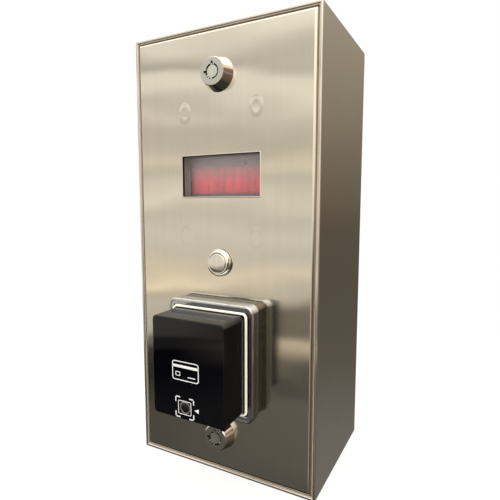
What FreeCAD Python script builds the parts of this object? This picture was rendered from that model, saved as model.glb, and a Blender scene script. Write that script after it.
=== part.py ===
"""Cashless payment box: a steel enclosure with a lift-off front panel.

Frame, in millimetres: the origin is the centre of the enclosure's underside, +Z is up and
the front faces -Y. The front panel lifts off along -Y once both cam locks are turned. The
locks are drawn unlocked, with their cams pointing to +X.
"""
import FreeCAD, Part
import os
import re
import Sketcher

# Driving sizes: (name, value in millimetres, what it is).
SIZES = (
    ("case_width", 140.0, "enclosure, across"),
    ("case_height", 305.0, "enclosure, up"),
    ("case_depth", 100.0, "enclosure, front to back"),
    ("case_wall", 2.0, "enclosure sheet"),
    ("case_edge_radius", 0.8, "rounding of the enclosure's outer folds"),
    ("case_rim_radius", 0.75, "rounding of the enclosure's front rim"),
    ("wall_hole_radius", 3.25, "holes for the wall screws"),
    ("wall_hole_across", 90.0, "wall hole spacing, across"),
    ("wall_hole_up", 240.0, "wall hole spacing, up"),
    ("conduit_radius", 11.1, "conduit hole in the underside"),
    ("conduit_to_back", 28.0, "conduit axis to the back face"),
    ("side_gap", 0.5, "panel to side wall"),
    ("end_gap", 0.5, "panel to top and bottom wall"),
    ("panel_sheet", 2.0, "front panel sheet"),
    ("panel_flange", 12.0, "depth of the panel's folded rim"),
    ("panel_fold_radius", 2.5, "outer radius of the panel's folds"),
    ("panel_notch", 1.2, "open relief at the panel's corners"),
    ("stop_sheet", 1.5, "panel stop strips"),
    ("stop_leg", 8.0, "panel stop strips, each leg"),
    ("stop_length", 185.0, "panel stop strips, up"),
    ("stop_seal_depth", 1.5, "foam on the stop strips"),
    ("stop_seal_width", 6.0, "foam on the stop strips, across"),
    ("stop_gap", 0.2, "panel rim to foam"),
    ("window_width", 60.0, "display window, across"),
    ("window_height", 27.5, "display window, up"),
    ("window_level", 208.4, "centre of the display window"),
    ("window_edge", 0.25, "rounding around the display window"),
    ("frame_depth", 6.0, "display frame behind the panel"),
    ("frame_border", 5.0, "display frame around the window"),
    ("lens_sheet", 1.5, "display lens"),
    ("lens_overlap", 3.0, "lens beyond the window"),
    ("lens_gap", 0.5, "lens to digits"),
    ("digits_width", 58.6, "digit block, across"),
    ("digits_height", 18.0, "digit block, up"),
    ("digits_depth", 8.0, "digit block, front to back"),
    ("digits_level", 206.2, "centre of the digit block"),
    ("sensor_radius", 1.5, "light sensor"),
    ("sensor_across", 13.2, "light sensor, to the right of the centre"),
    ("sensor_level", 217.0, "light sensor"),
    ("stud_radius", 1.5, "studs welded to the panel"),
    ("stud_across", 54.8, "stud spacing, across"),
    ("stud_up", 83.2, "stud spacing, up"),
    ("stud_level", 209.2, "centre of the stud pattern"),
    ("stud_end", 1.0, "stud beyond its nut"),
    ("stud_clearance", 0.2, "radial play around a stud"),
    ("spacer_radius", 3.0, "spacers on the studs"),
    ("small_nut_flats", 5.5, "nuts on the studs, across flats"),
    ("small_nut_depth", 2.4, "nuts on the studs"),
    ("board_sheet", 1.6, "circuit boards"),
    ("board_margin", 5.5, "display board beyond the studs"),
    ("button_level", 150.2, "push button"),
    ("button_flange_radius", 9.4, "button flange"),
    ("button_flange_depth", 3.0, "button flange"),
    ("button_flange_chamfer", 0.8, "button flange edge"),
    ("button_seal_depth", 0.6, "washer under the button flange"),
    ("button_barrel_radius", 8.0, "button barrel"),
    ("button_barrel_length", 22.0, "button barrel behind the flange"),
    ("button_bore_radius", 7.0, "bore of the button barrel"),
    ("button_nut_flats", 19.0, "button nut, across flats"),
    ("button_nut_depth", 2.5, "button nut"),
    ("cap_radius", 6.4, "button cap"),
    ("cap_proud", 0.8, "cap in front of the flange"),
    ("cap_lip", 2.5, "flange depth around the cap"),
    ("cap_shoulder_depth", 2.0, "collar that keeps the cap in"),
    ("cap_shoulder_play", 0.3, "radial play around the collar"),
    ("cap_stop_gap", 0.05, "collar to the flange lip"),
    ("cap_stem_radius", 3.0, "cap stem"),
    ("spring_length", 7.0, "cap spring at rest"),
    ("spring_play", 0.4, "radial play around the spring"),
    ("guide_depth", 3.0, "wall that guides the cap stem"),
    ("cap_travel", 1.2, "push of the cap"),
    ("switch_gap", 0.4, "pushed stem to the switch"),
    ("switch_tail", 8.0, "switch behind the barrel"),
    ("switch_play", 0.1, "radial play around the switch"),
    ("running_play", 0.06, "radial play of parts that slide or turn"),
    ("fixed_play", 0.1, "radial play of parts clamped in the panel"),
    ("lock_to_top", 31.8, "upper lock axis below the top"),
    ("lock_to_bottom", 28.6, "lower lock axis above the underside"),
    ("lock_base_radius", 11.2, "lock head at the panel"),
    ("lock_face_radius", 9.0, "lock head at its face"),
    ("lock_head_depth", 8.0, "lock head"),
    ("lock_edge", 0.5, "bevel around the lock face"),
    ("lock_barrel_radius", 9.5, "lock barrel"),
    ("lock_barrel_length", 20.0, "lock barrel behind the panel's face"),
    ("lock_nut_flats", 24.0, "lock nut, across flats"),
    ("lock_nut_depth", 3.0, "lock nut"),
    ("keyway_radius", 4.85, "ring keyway, outer"),
    ("keyway_depth", 6.0, "ring keyway"),
    ("key_tick_width", 1.5, "key notches in the lock face"),
    ("key_tick_reach", 1.4, "key notches, outward"),
    ("post_radius", 3.8, "post inside the keyway"),
    ("post_sunk", 0.3, "post below the lock face"),
    ("core_radius", 6.3, "turning core"),
    ("core_start", 10.0, "lock face to the core's wide part"),
    ("core_tail", 0.3, "core behind the barrel"),
    ("square_side", 6.0, "square end that turns the cam"),
    ("square_play", 0.1, "cam hole around the square end"),
    ("cam_sheet", 3.0, "cam"),
    ("cam_width", 16.0, "cam"),
    ("cam_reach", 20.0, "lock axis to the cam's tip"),
    ("cam_corner", 5.0, "rounding of the cam's corners"),
    ("cam_screw_radius", 1.65, "cam screw shank"),
    ("cam_screw_depth", 6.0, "cam screw beyond the cam"),
    ("cam_screw_play", 0.05, "radial play around the screw"),
    ("cam_screw_head", 4.2, "cam screw head radius"),
    ("cam_screw_head_depth", 2.4, "cam screw head"),
    ("strike_sheet", 2.0, "strike brackets"),
    ("strike_width", 40.0, "strike brackets, across"),
    ("strike_leg", 14.0, "strike brackets, front to back"),
    ("strike_gap", 1.5, "strike to cam"),
    ("strike_to_lock", 3.5, "strike to lock barrel"),
    ("reader_width", 54.0, "card reader block, across"),
    ("reader_height", 64.5, "card reader block, up"),
    ("reader_depth", 38.6, "card reader block in front of the panel"),
    ("reader_level", 87.8, "centre of the card reader block"),
    ("reader_corner", 3.0, "rounding of the card reader's corners"),
    ("reader_wall", 2.0, "card reader case and glass"),
    ("reader_edge", 1.0, "rounding around the glass"),
    ("bezel_side_border", 5.8, "reader bezel beyond each side of the card reader"),
    ("bezel_end_border", 6.4, "reader bezel beyond the card reader's ends, on average"),
    ("bezel_drop", 0.3, "centre of the reader bezel below the card reader's"),
    ("bezel_depth", 14.6, "reader bezel in front of the panel"),
    ("bezel_corner", 5.0, "rounding of the bezel's corners"),
    ("bezel_edge", 1.2, "rounding around the bezel's face"),
    ("bezel_base_depth", 6.0, "mounting base behind the bezel"),
    ("bezel_base_inset", 1.0, "mounting base inside the bezel's outline"),
    ("reader_seal_width", 1.6, "seal around the card reader"),
    ("reader_seal_proud", 0.8, "seal in front of the bezel"),
    ("reader_play", 0.1, "gaps around the seal"),
    ("antenna_margin", 4.0, "antenna board inside each side of the card reader"),
    ("antenna_height", 34.0, "antenna board, up"),
    ("antenna_level", 96.5, "centre of the antenna board"),
    ("antenna_sheet", 1.0, "antenna board"),
    ("scanner_width", 16.0, "code scanner, across"),
    ("scanner_height", 12.0, "code scanner, up"),
    ("scanner_depth", 10.0, "code scanner, front to back"),
    ("scanner_across", -2.0, "code scanner, from the centre"),
    ("scanner_level", 64.2, "centre of the code scanner"),
    ("reader_board_gap", 1.0, "reader board to the case walls"),
    ("socket_width", 20.0, "reader connector, across"),
    ("socket_height", 10.0, "reader connector, up"),
    ("socket_front", 12.0, "reader connector in front of the panel's face"),
    ("socket_back", 10.0, "reader connector behind the panel's face"),
    ("socket_play", 0.3, "opening around the connector"),
    ("reader_screw_radius", 1.5, "reader screws"),
    ("reader_screw_to_end", 8.25, "reader screws from the card reader's ends"),
    ("reader_screw_head", 2.75, "reader screw head radius"),
    ("reader_screw_head_depth", 2.0, "reader screw head"),
    ("controller_width", 90.0, "controller board, across"),
    ("controller_height", 110.0, "controller board, up"),
    ("controller_level", 165.0, "centre of the controller board"),
    ("controller_margin", 6.0, "support to the board's edge"),
    ("support_length", 8.0, "board supports"),
    ("support_radius", 3.0, "board supports"),
    ("support_neck", 1.5, "support inside the board"),
    ("support_head", 2.4, "support head radius"),
    ("support_head_depth", 1.5, "support head"),
    ("supply_width", 50.0, "power supply, across"),
    ("supply_height", 30.0, "power supply, up"),
    ("supply_depth", 20.0, "power supply, front to back"),
    ("supply_above", 25.0, "power supply above the board's centre"),
    ("terminal_width", 60.0, "terminal block, across"),
    ("terminal_height", 12.0, "terminal block, up"),
    ("terminal_depth", 12.0, "terminal block, front to back"),
    ("terminal_below", 44.0, "terminal block below the board's centre"),
    ("earth_radius", 2.5, "earth stud"),
    ("earth_length", 14.0, "earth stud"),
    ("earth_across", 45.0, "earth stud, to the left of the centre"),
    ("earth_level", 70.0, "earth stud"),
    ("earth_nut_flats", 8.0, "earth nut, across flats"),
    ("earth_nut_depth", 4.0, "earth nut"),
    ("earth_nut_play", 0.1, "radial play around the earth stud"),
)

# Sizes that follow from the driving ones. Y runs from front to back.
FORMULAS = {
    "front": "-case_depth / 2",
    "back": "case_depth / 2",
    "inner_back": "back - case_wall",
    "inner_side": "case_width / 2 - case_wall",
    "panel_back": "front + panel_sheet",
    "panel_rear": "front + panel_flange",
    "panel_width": "case_width - 2 * case_wall - 2 * side_gap",
    "panel_height": "case_height - 2 * case_wall - 2 * end_gap",
    "case_middle": "case_height / 2",
    "stop_seal_front": "panel_rear + stop_gap",
    "stop_front": "stop_seal_front + stop_seal_depth",
    "lens_front": "panel_back + frame_depth",
    "digits_front": "lens_front + lens_sheet + lens_gap",
    "board_front": "digits_front + digits_depth",
    "board_back": "board_front + board_sheet",
    "stud_hole": "stud_radius + stud_clearance",
    "button_flange_back": "front - button_seal_depth",
    "button_flange_front": "button_flange_back - button_flange_depth",
    "button_end": "button_flange_back + button_barrel_length",
    "cap_lip_back": "button_flange_front + cap_lip",
    "cap_front": "button_flange_front - cap_proud",
    "cap_shoulder_front": "cap_lip_back + cap_stop_gap",
    "cap_shoulder_back": "cap_shoulder_front + cap_shoulder_depth",
    "guide_front": "cap_shoulder_back + spring_length",
    "guide_back": "guide_front + guide_depth",
    "switch_front": "guide_back + cap_travel + switch_gap",
    "upper_lock": "case_height - lock_to_top",
    "lower_lock": "lock_to_bottom",
    "lock_face": "front - lock_head_depth",
    "lock_end": "front + lock_barrel_length",
    "core_bore": "core_radius + running_play",
    "core_step": "lock_face + core_start",
    "core_end": "lock_end + core_tail",
    "cam_back": "core_end + cam_sheet",
    "strike_back": "core_end - strike_gap",
    "strike_front": "strike_back - strike_sheet",
    "strike_top": "case_height - case_wall",
    "strike_clear": "lock_barrel_radius + strike_to_lock",
    "reader_front": "front - reader_depth",
    "glass_back": "reader_front + reader_wall",
    "bezel_width": "reader_width + 2 * bezel_side_border",
    "bezel_height": "reader_height + 2 * bezel_end_border",
    "bezel_level": "reader_level - bezel_drop",
    "bezel_front": "front - bezel_depth",
    "bezel_back": "front - bezel_base_depth",
    "seal_inner": "reader_play",
    "seal_outer": "reader_play + reader_seal_width",
    "bezel_inner": "2 * reader_play + reader_seal_width",
    "socket_start": "front - socket_front",
    "antenna_width": "reader_width - 2 * antenna_margin",
    "base_ring_inner": "reader_width / 2 + reader_play",
    "base_ring_outer": "bezel_width / 2 - bezel_base_inset",
    "reader_screw_across": "base_ring_inner + base_ring_outer",
    "reader_screw_up": "reader_height - 2 * reader_screw_to_end",
    "reader_screw_hole": "reader_screw_radius + fixed_play",
    "board_rear": "inner_back - support_length",
    "controller_front": "board_rear - board_sheet",
}

# The window is the only opening in the panel with straight edges longer than this.
LONG_EDGE = 22.0

WORD = re.compile(r"[a-z][a-z_]*")
SIZE_NAMES = {name for name, value, note in SIZES}

doc = FreeCAD.newDocument("payment_box")
cuts = []


def build_sheet():
    """Write the driving sizes into the document's spreadsheet."""
    sheet = doc.addObject("Spreadsheet::Sheet", "Sizes")
    for row, (name, value, note) in enumerate(SIZES, start=1):
        sheet.set("A%d" % row, name)
        sheet.set("B%d" % row, str(value))
        sheet.set("C%d" % row, note)
        sheet.setAlias("B%d" % row, name)
    doc.recompute()


def formula(text):
    """Spell a formula made of size names as a FreeCAD expression."""

    def spell(match):
        word = match.group(0)
        if word in FORMULAS:
            return "(" + formula(FORMULAS[word]) + ")"
        if word in SIZE_NAMES:
            return "Sizes." + word
        return word

    return WORD.sub(spell, str(text))


def new_body(label, x="0", z="0"):
    """Start a sub-part whose own origin lies at (x, 0, z)."""
    body = doc.addObject("PartDesign::Body", label)
    body.Label = label
    body.setExpression("Placement.Base.x", formula(x))
    body.setExpression("Placement.Base.z", formula(z))
    return body


def new_sketch(body, plane, offset="0"):
    """Attach an empty sketch to one of the body's origin planes."""
    planes = {item.Role: item for item in body.Origin.OriginFeatures}
    sketch = body.newObject("Sketcher::SketchObject", body.Label + "_sketch")
    sketch.AttachmentSupport = [(planes[plane], "")]
    sketch.MapMode = "FlatFace"
    sketch.setExpression("AttachmentOffset.Base.z", formula(offset))
    return sketch


def bind(sketch, kind, geometry, point, text):
    """Tie one coordinate of a sketch point to a formula."""
    index = sketch.addConstraint(Sketcher.Constraint(kind, -1, 1, geometry, point, 1.0))
    sketch.setExpression("Constraints[%d]" % index, formula(text))


def draw_polygon(sketch, points):
    """Draw a closed outline through points given as pairs of formulas."""
    count = len(points)
    first = sketch.GeometryCount
    circle = Part.Circle(FreeCAD.Vector(0, 0, 0), FreeCAD.Vector(0, 0, 1), 1)
    corners = circle.discretize(Number=count + 1)
    for index in range(count):
        sketch.addGeometry(Part.LineSegment(corners[index], corners[index + 1]), False)
    for index in range(count):
        following = first + (index + 1) % count
        sketch.addConstraint(Sketcher.Constraint("Coincident", first + index, 2, following, 1))
    for index, (across, up) in enumerate(points):
        bind(sketch, "DistanceX", first + index, 1, across)
        bind(sketch, "DistanceY", first + index, 1, up)


def rectangle(width, height, x="0", z="0"):
    """Return a drawing function for a rectangle centred at (x, z)."""
    left = "(%s) - (%s) / 2" % (x, width)
    right = "(%s) + (%s) / 2" % (x, width)
    low = "(%s) - (%s) / 2" % (z, height)
    high = "(%s) + (%s) / 2" % (z, height)
    return polygon([(left, low), (right, low), (right, high), (left, high)])


def hexagon(flats, x="0", z="0"):
    """Return a drawing function for a hexagon with two level sides."""
    tip = "(%s) / sqrt(3)" % flats
    corners = [
        ("-%s" % tip, "0"),
        ("-%s / 2" % tip, "-(%s) / 2" % flats),
        ("%s / 2" % tip, "-(%s) / 2" % flats),
        (tip, "0"),
        ("%s / 2" % tip, "(%s) / 2" % flats),
        ("-%s / 2" % tip, "(%s) / 2" % flats),
    ]
    return polygon([("(%s) + %s" % (x, a), "(%s) + %s" % (z, b)) for a, b in corners])


def polygon(points):
    """Return a drawing function for a closed outline."""

    def draw(sketch):
        draw_polygon(sketch, points)

    return draw


def circle(radius, x="0", z="0"):
    """Return a drawing function for a circle centred at (x, z)."""

    def draw(sketch):
        centre = FreeCAD.Vector(0, 0, 0)
        index = sketch.addGeometry(Part.Circle(centre, FreeCAD.Vector(0, 0, 1), 1), False)
        size = sketch.addConstraint(Sketcher.Constraint("Radius", index, 1.0))
        sketch.setExpression("Constraints[%d]" % size, formula(radius))
        bind(sketch, "DistanceX", index, 3, x)
        bind(sketch, "DistanceY", index, 3, z)

    return draw


def add(body, outlines, front, depth):
    """Add material to a body from the plane y = front towards the back."""
    sketch = new_sketch(body, "XZ_Plane", "-(%s)" % front)
    for draw in outlines:
        draw(sketch)
    pad = body.newObject("PartDesign::Pad", body.Label + "_pad")
    pad.Profile = sketch
    pad.Reversed = True
    pad.setExpression("Length", formula(depth))
    return pad


def cut(body, outlines, front, depth):
    """Cut a body from the plane y = front towards the back."""
    doc.recompute()
    base = body.Tip
    sketch = new_sketch(body, "XZ_Plane", "-(%s)" % front)
    for draw in outlines:
        draw(sketch)
    pocket = body.newObject("PartDesign::Pocket", body.Label + "_pocket")
    pocket.Profile = sketch
    pocket.setExpression("Length", formula(depth))
    cuts.append((base, pocket))
    return pocket


def turn(body, points):
    """Add a solid of revolution about the body's Y axis from (radius, y) pairs."""
    sketch = new_sketch(body, "XY_Plane")
    draw_polygon(sketch, points)
    revolution = body.newObject("PartDesign::Revolution", body.Label + "_turn")
    revolution.Profile = sketch
    revolution.ReferenceAxis = (sketch, ["V_Axis"])
    revolution.Angle = 360
    return revolution


def round_edges(body, radius, chosen):
    """Round the body's edges for which chosen(edge box, body box) is true."""
    doc.recompute()
    base = body.Tip
    whole = base.Shape.BoundBox
    names = [
        "Edge%d" % number
        for number, edge in enumerate(base.Shape.Edges, start=1)
        if chosen(edge.BoundBox, whole)
    ]
    fillet = body.newObject("PartDesign::Fillet", body.Label + "_round")
    fillet.Base = (base, names)
    fillet.setExpression("Radius", formula(radius))
    return fillet


def is_flat(low, high):
    """Tell whether a span of a box has no length."""
    return abs(high - low) < 1e-4


def along_depth(edge, whole):
    """Choose the outer edges that run from front to back."""
    straight = is_flat(edge.XMin, edge.XMax) and is_flat(edge.ZMin, edge.ZMax)
    outer_x = is_flat(edge.XMin, whole.XMin) or is_flat(edge.XMin, whole.XMax)
    outer_z = is_flat(edge.ZMin, whole.ZMin) or is_flat(edge.ZMin, whole.ZMax)
    return straight and outer_x and outer_z


def around_plane(edge, whole, level):
    """Choose the outermost edges that lie in the plane y = level."""
    level_edge = is_flat(edge.YMin, level) and is_flat(edge.YMax, level)
    touches_x = is_flat(edge.XMin, whole.XMin) or is_flat(edge.XMax, whole.XMax)
    touches_z = is_flat(edge.ZMin, whole.ZMin) or is_flat(edge.ZMax, whole.ZMax)
    return level_edge and (touches_x or touches_z)


def around_front(edge, whole):
    """Choose the outline of the front face."""
    return around_plane(edge, whole, whole.YMin)


def in_front_plane(edge, whole):
    """Choose every edge of the front rim."""
    return is_flat(edge.YMin, whole.YMin) and is_flat(edge.YMax, whole.YMin)


def around_window(edge, whole):
    """Choose the straight edges of the window on the panel's face."""
    across, up = edge.XLength, edge.ZLength
    straight = is_flat(min(across, up), 0)
    inside = edge.XMax < whole.XMax / 2 and edge.XMin > whole.XMin / 2
    return in_front_plane(edge, whole) and straight and inside and max(across, up) > LONG_EDGE


def around_back(edge, whole):
    """Choose the outline of the back face."""
    return around_plane(edge, whole, whole.YMax)


def plate(label, outlines, front, depth):
    """Build a flat piece that faces the front."""
    body = new_body(label)
    add(body, outlines, front, depth)
    return body


def at_corners(across, up, level):
    """Return the four corners, from the lower left, of a centred pattern."""
    return [
        ("%s(%s) / 2" % (side, across), "(%s) %s (%s) / 2" % (level, end, up))
        for end in "-+"
        for side in ("-", "")
    ]


def build_enclosure():
    """Five-sided folded box, open at the front."""
    body = new_body("enclosure_shell")
    add(body, [rectangle("case_width", "case_height", z="case_middle")], "front", "case_depth")
    round_edges(body, "case_edge_radius", along_depth)
    round_edges(body, "case_edge_radius", around_back)
    hollow = rectangle("2 * inner_side", "case_height - 2 * case_wall", z="case_middle")
    cut(body, [hollow], "front", "case_depth - case_wall")
    round_edges(body, "case_rim_radius", in_front_plane)
    holes = at_corners("wall_hole_across", "wall_hole_up", "case_middle")
    cut(body, [circle("wall_hole_radius", x, z) for x, z in holes], "inner_back", "case_wall")
    doc.recompute()
    base = body.Tip
    conduit = new_sketch(body, "XY_Plane")
    circle("conduit_radius", "0", "back - conduit_to_back")(conduit)
    pocket = body.newObject("PartDesign::Pocket", "conduit_hole")
    pocket.Profile = conduit
    pocket.Reversed = True
    pocket.setExpression("Length", formula("case_wall"))
    cuts.append((base, pocket))


def bracket(label, points, width, x="0"):
    """Build a folded bracket from its (y, z) outline, centred across at x."""
    body = new_body(label, x=x)
    sketch = new_sketch(body, "YZ_Plane")
    draw_polygon(sketch, points)
    pad = body.newObject("PartDesign::Pad", label + "_pad")
    pad.Profile = sketch
    pad.Midplane = True
    pad.setExpression("Length", formula(width))


def build_strikes():
    """Angle brackets at the top and bottom that the turned cams hook behind."""
    ends = (
        ("strike_upper", "strike_top", "-", "upper_lock + strike_clear"),
        ("strike_lower", "case_wall", "+", "lower_lock - strike_clear"),
    )
    for label, wall, inward, tip in ends:
        face = "%s %s strike_sheet" % (wall, inward)
        outline = [
            ("strike_front", wall),
            ("strike_front", tip),
            ("strike_back", tip),
            ("strike_back", face),
            ("strike_front + strike_leg", face),
            ("strike_front + strike_leg", wall),
        ]
        bracket(label, outline, "strike_width")


def build_stops():
    """Angle strips on the side walls, with foam, that the panel's rim rests against."""
    for side, sign in (("left", "-"), ("right", "")):
        body = new_body("stop_" + side, z="case_middle")
        sketch = new_sketch(body, "XY_Plane", "-stop_length / 2")
        wall = "%sinner_side" % sign
        inner = "%s(inner_side - stop_sheet)" % sign
        edge = "%s(inner_side - stop_leg)" % sign
        outline = [
            (wall, "stop_front"),
            (edge, "stop_front"),
            (edge, "stop_front + stop_sheet"),
            (inner, "stop_front + stop_sheet"),
            (inner, "stop_front + stop_leg"),
            (wall, "stop_front + stop_leg"),
        ]
        draw_polygon(sketch, outline)
        pad = body.newObject("PartDesign::Pad", body.Label + "_pad")
        pad.Profile = sketch
        pad.setExpression("Length", formula("stop_length"))
        middle = "%s(inner_side - stop_leg + stop_seal_width / 2)" % sign
        foam = rectangle("stop_seal_width", "stop_length", middle, "case_middle")
        plate("stop_seal_" + side, [foam], "stop_seal_front", "stop_seal_depth")


def build_controller():
    """Controller board on four supports, its power supply and terminals, and the earth stud."""
    across = "controller_width - 2 * controller_margin"
    up = "controller_height - 2 * controller_margin"
    corners = at_corners(across, up, "controller_level")
    outline = rectangle("controller_width", "controller_height", z="controller_level")
    holes = [circle("support_neck + fixed_play", x, z) for x, z in corners]
    plate("controller_board", [outline] + holes, "controller_front", "board_sheet")
    for number, (x, z) in enumerate(corners, start=1):
        support = new_body("board_support_%d" % number, x, z)
        turn(support, [
            ("0", "controller_front - support_head_depth"),
            ("support_head", "controller_front - support_head_depth"),
            ("support_head", "controller_front"),
            ("support_neck", "controller_front"),
            ("support_neck", "board_rear"),
            ("support_radius", "board_rear"),
            ("support_radius", "inner_back"),
            ("0", "inner_back"),
        ])
    supply = rectangle("supply_width", "supply_height", z="controller_level + supply_above")
    plate("power_supply", [supply], "controller_front - supply_depth", "supply_depth")
    terminals = rectangle(
        "terminal_width", "terminal_height", z="controller_level - terminal_below"
    )
    plate("terminal_block", [terminals], "controller_front - terminal_depth", "terminal_depth")
    stud = circle("earth_radius", "-earth_across", "earth_level")
    plate("earth_stud", [stud], "inner_back - earth_length", "earth_length")
    nut = hexagon("earth_nut_flats", "-earth_across", "earth_level")
    hole = circle("earth_radius + earth_nut_play", "-earth_across", "earth_level")
    plate("earth_nut", [nut, hole], "inner_back - earth_nut_depth", "earth_nut_depth")


def build_panel():
    """Pan-shaped front panel with its openings and welded studs."""
    body = new_body("front_panel")
    outline = rectangle("panel_width", "panel_height", z="case_middle")
    add(body, [outline], "front", "panel_flange")
    round_edges(body, "panel_fold_radius", around_front)
    inside = rectangle(
        "panel_width - 2 * panel_sheet", "panel_height - 2 * panel_sheet", z="case_middle"
    )
    cut(body, [inside], "panel_back", "panel_flange - panel_sheet")
    notches = at_corners(
        "panel_width - panel_notch", "panel_height - panel_notch", "case_middle"
    )
    squares = [rectangle("panel_notch", "panel_notch", x, z) for x, z in notches]
    cut(body, squares, "front", "panel_flange")
    screws = at_corners("reader_screw_across", "reader_screw_up", "bezel_level")
    openings = [
        rectangle("window_width", "window_height", z="window_level"),
        circle("button_barrel_radius + fixed_play", "0", "button_level"),
        circle("lock_barrel_radius + fixed_play", "0", "upper_lock"),
        circle("lock_barrel_radius + fixed_play", "0", "lower_lock"),
        rectangle(
            "socket_width + 2 * socket_play", "socket_height + 2 * socket_play", z="reader_level"
        ),
    ]
    openings += [circle("reader_screw_hole", x, z) for x, z in screws]
    cut(body, openings, "front", "panel_sheet")
    round_edges(body, "window_edge", around_window)
    studs = at_corners("stud_across", "stud_up", "stud_level")
    length = "board_back + small_nut_depth + stud_end - panel_back"
    add(body, [circle("stud_radius", x, z) for x, z in studs], "panel_back", length)


def build_display():
    """Display behind the window: frame, lens, digits, sensor and their board."""
    window = rectangle("window_width", "window_height", z="window_level")
    rim = rectangle(
        "window_width + 2 * frame_border", "window_height + 2 * frame_border", z="window_level"
    )
    plate("display_frame", [rim, window], "panel_back", "frame_depth")
    lens = rectangle(
        "window_width + 2 * lens_overlap", "window_height + 2 * lens_overlap", z="window_level"
    )
    plate("display_lens", [lens], "lens_front", "lens_sheet")
    digits = rectangle("digits_width", "digits_height", z="digits_level")
    plate("display_digits", [digits], "digits_front", "digits_depth")
    sensor = circle("sensor_radius", "sensor_across", "sensor_level")
    plate("light_sensor", [sensor], "digits_front", "digits_depth")
    studs = at_corners("stud_across", "stud_up", "stud_level")
    board = rectangle(
        "stud_across + 2 * board_margin", "stud_up + 2 * board_margin", z="stud_level"
    )
    holes = [circle("stud_hole", x, z) for x, z in studs]
    plate("display_board", [board] + holes, "board_front", "board_sheet")
    for number, (x, z) in enumerate(studs, start=1):
        bore = circle("stud_hole", x, z)
        tube = circle("spacer_radius", x, z)
        plate("display_spacer_%d" % number, [tube, bore], "panel_back", "board_front - panel_back")
        nut = hexagon("small_nut_flats", x, z)
        plate("display_nut_%d" % number, [nut, bore], "board_back", "small_nut_depth")


def build_button():
    """Sprung push button: washer, housing, nut, cap, spring and switch."""
    level = "button_level"
    washer = circle("button_flange_radius - button_flange_chamfer", "0", level)
    hole = circle("button_barrel_radius + fixed_play", "0", level)
    plate("button_washer", [washer, hole], "button_flange_back", "button_seal_depth")
    housing = new_body("button_housing", z=level)
    turn(housing, [
        ("cap_radius + running_play", "button_flange_front"),
        ("button_flange_radius - button_flange_chamfer", "button_flange_front"),
        ("button_flange_radius", "button_flange_front + button_flange_chamfer"),
        ("button_flange_radius", "button_flange_back"),
        ("button_barrel_radius", "button_flange_back"),
        ("button_barrel_radius", "button_end"),
        ("button_bore_radius", "button_end"),
        ("button_bore_radius", "guide_back"),
        ("cap_stem_radius + running_play", "guide_back"),
        ("cap_stem_radius + running_play", "guide_front"),
        ("button_bore_radius", "guide_front"),
        ("button_bore_radius", "cap_lip_back"),
        ("cap_radius + running_play", "cap_lip_back"),
    ])
    nut = hexagon("button_nut_flats", "0", level)
    plate("button_nut", [nut, hole], "panel_back", "button_nut_depth")
    cap = new_body("button_cap", z=level)
    turn(cap, [
        ("0", "cap_front"),
        ("cap_radius - cap_proud", "cap_front"),
        ("cap_radius", "button_flange_front"),
        ("cap_radius", "cap_shoulder_front"),
        ("button_bore_radius - cap_shoulder_play", "cap_shoulder_front"),
        ("button_bore_radius - cap_shoulder_play", "cap_shoulder_back"),
        ("cap_stem_radius", "cap_shoulder_back"),
        ("cap_stem_radius", "guide_back"),
        ("0", "guide_back"),
    ])
    coil = circle("button_bore_radius - spring_play", "0", level)
    middle = circle("cap_stem_radius + spring_play", "0", level)
    plate("button_spring", [coil, middle], "cap_shoulder_back", "spring_length")
    switch = circle("button_bore_radius - switch_play", "0", level)
    plate("button_switch", [switch], "switch_front", "button_end + switch_tail - switch_front")


def build_lock(name, level):
    """Tubular cam lock: housing, nut, core with its square end, cam and screw."""
    housing = new_body(name + "_lock_housing", z=level)
    turn(housing, [
        ("keyway_radius", "lock_face"),
        ("lock_face_radius - lock_edge", "lock_face"),
        ("lock_face_radius", "lock_face + lock_edge"),
        ("lock_base_radius", "front"),
        ("lock_barrel_radius", "front"),
        ("lock_barrel_radius", "lock_end"),
        ("core_bore", "lock_end"),
        ("core_bore", "core_step"),
        ("keyway_radius", "core_step"),
    ])
    reach = "keyway_radius + key_tick_reach"
    ticks = [
        rectangle("key_tick_width", reach, "0", "(%s) / 2" % reach),
        rectangle(reach, "key_tick_width", "-(%s) / 2" % reach, "0"),
    ]
    for tick in ticks:
        cut(housing, [tick], "lock_face", "keyway_depth")
    hole = circle("lock_barrel_radius + fixed_play", "0", level)
    nut = hexagon("lock_nut_flats", "0", level)
    plate(name + "_lock_nut", [nut, hole], "panel_back", "lock_nut_depth")
    core = new_body(name + "_lock_core", z=level)
    turn(core, [
        ("0", "lock_face + post_sunk"),
        ("post_radius", "lock_face + post_sunk"),
        ("post_radius", "lock_face + keyway_depth"),
        ("keyway_radius - running_play", "lock_face + keyway_depth"),
        ("keyway_radius - running_play", "core_step + running_play"),
        ("core_radius", "core_step + running_play"),
        ("core_radius", "core_end"),
        ("0", "core_end"),
    ])
    add(core, [rectangle("square_side", "square_side")], "core_end", "cam_sheet")
    depth = "cam_sheet + cam_screw_depth"
    bore = circle("cam_screw_radius + cam_screw_play")
    cut(core, [bore], "core_end - cam_screw_depth", depth)
    cam = new_body(name + "_lock_cam", z=level)
    length = "cam_reach + cam_width / 2"
    arm = rectangle(length, "cam_width", "(%s) / 2 - cam_width / 2" % length, "0")
    add(cam, [arm], "core_end", "cam_sheet")
    round_edges(cam, "cam_corner", along_depth)
    side = "square_side + 2 * square_play"
    cut(cam, [rectangle(side, side)], "core_end", "cam_sheet")
    screw = new_body(name + "_cam_screw", z=level)
    turn(screw, [
        ("0", "core_end - cam_screw_depth"),
        ("cam_screw_radius", "core_end - cam_screw_depth"),
        ("cam_screw_radius", "cam_back"),
        ("cam_screw_head", "cam_back"),
        ("cam_screw_head", "cam_back + cam_screw_head_depth"),
        ("0", "cam_back + cam_screw_head_depth"),
    ])


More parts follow.
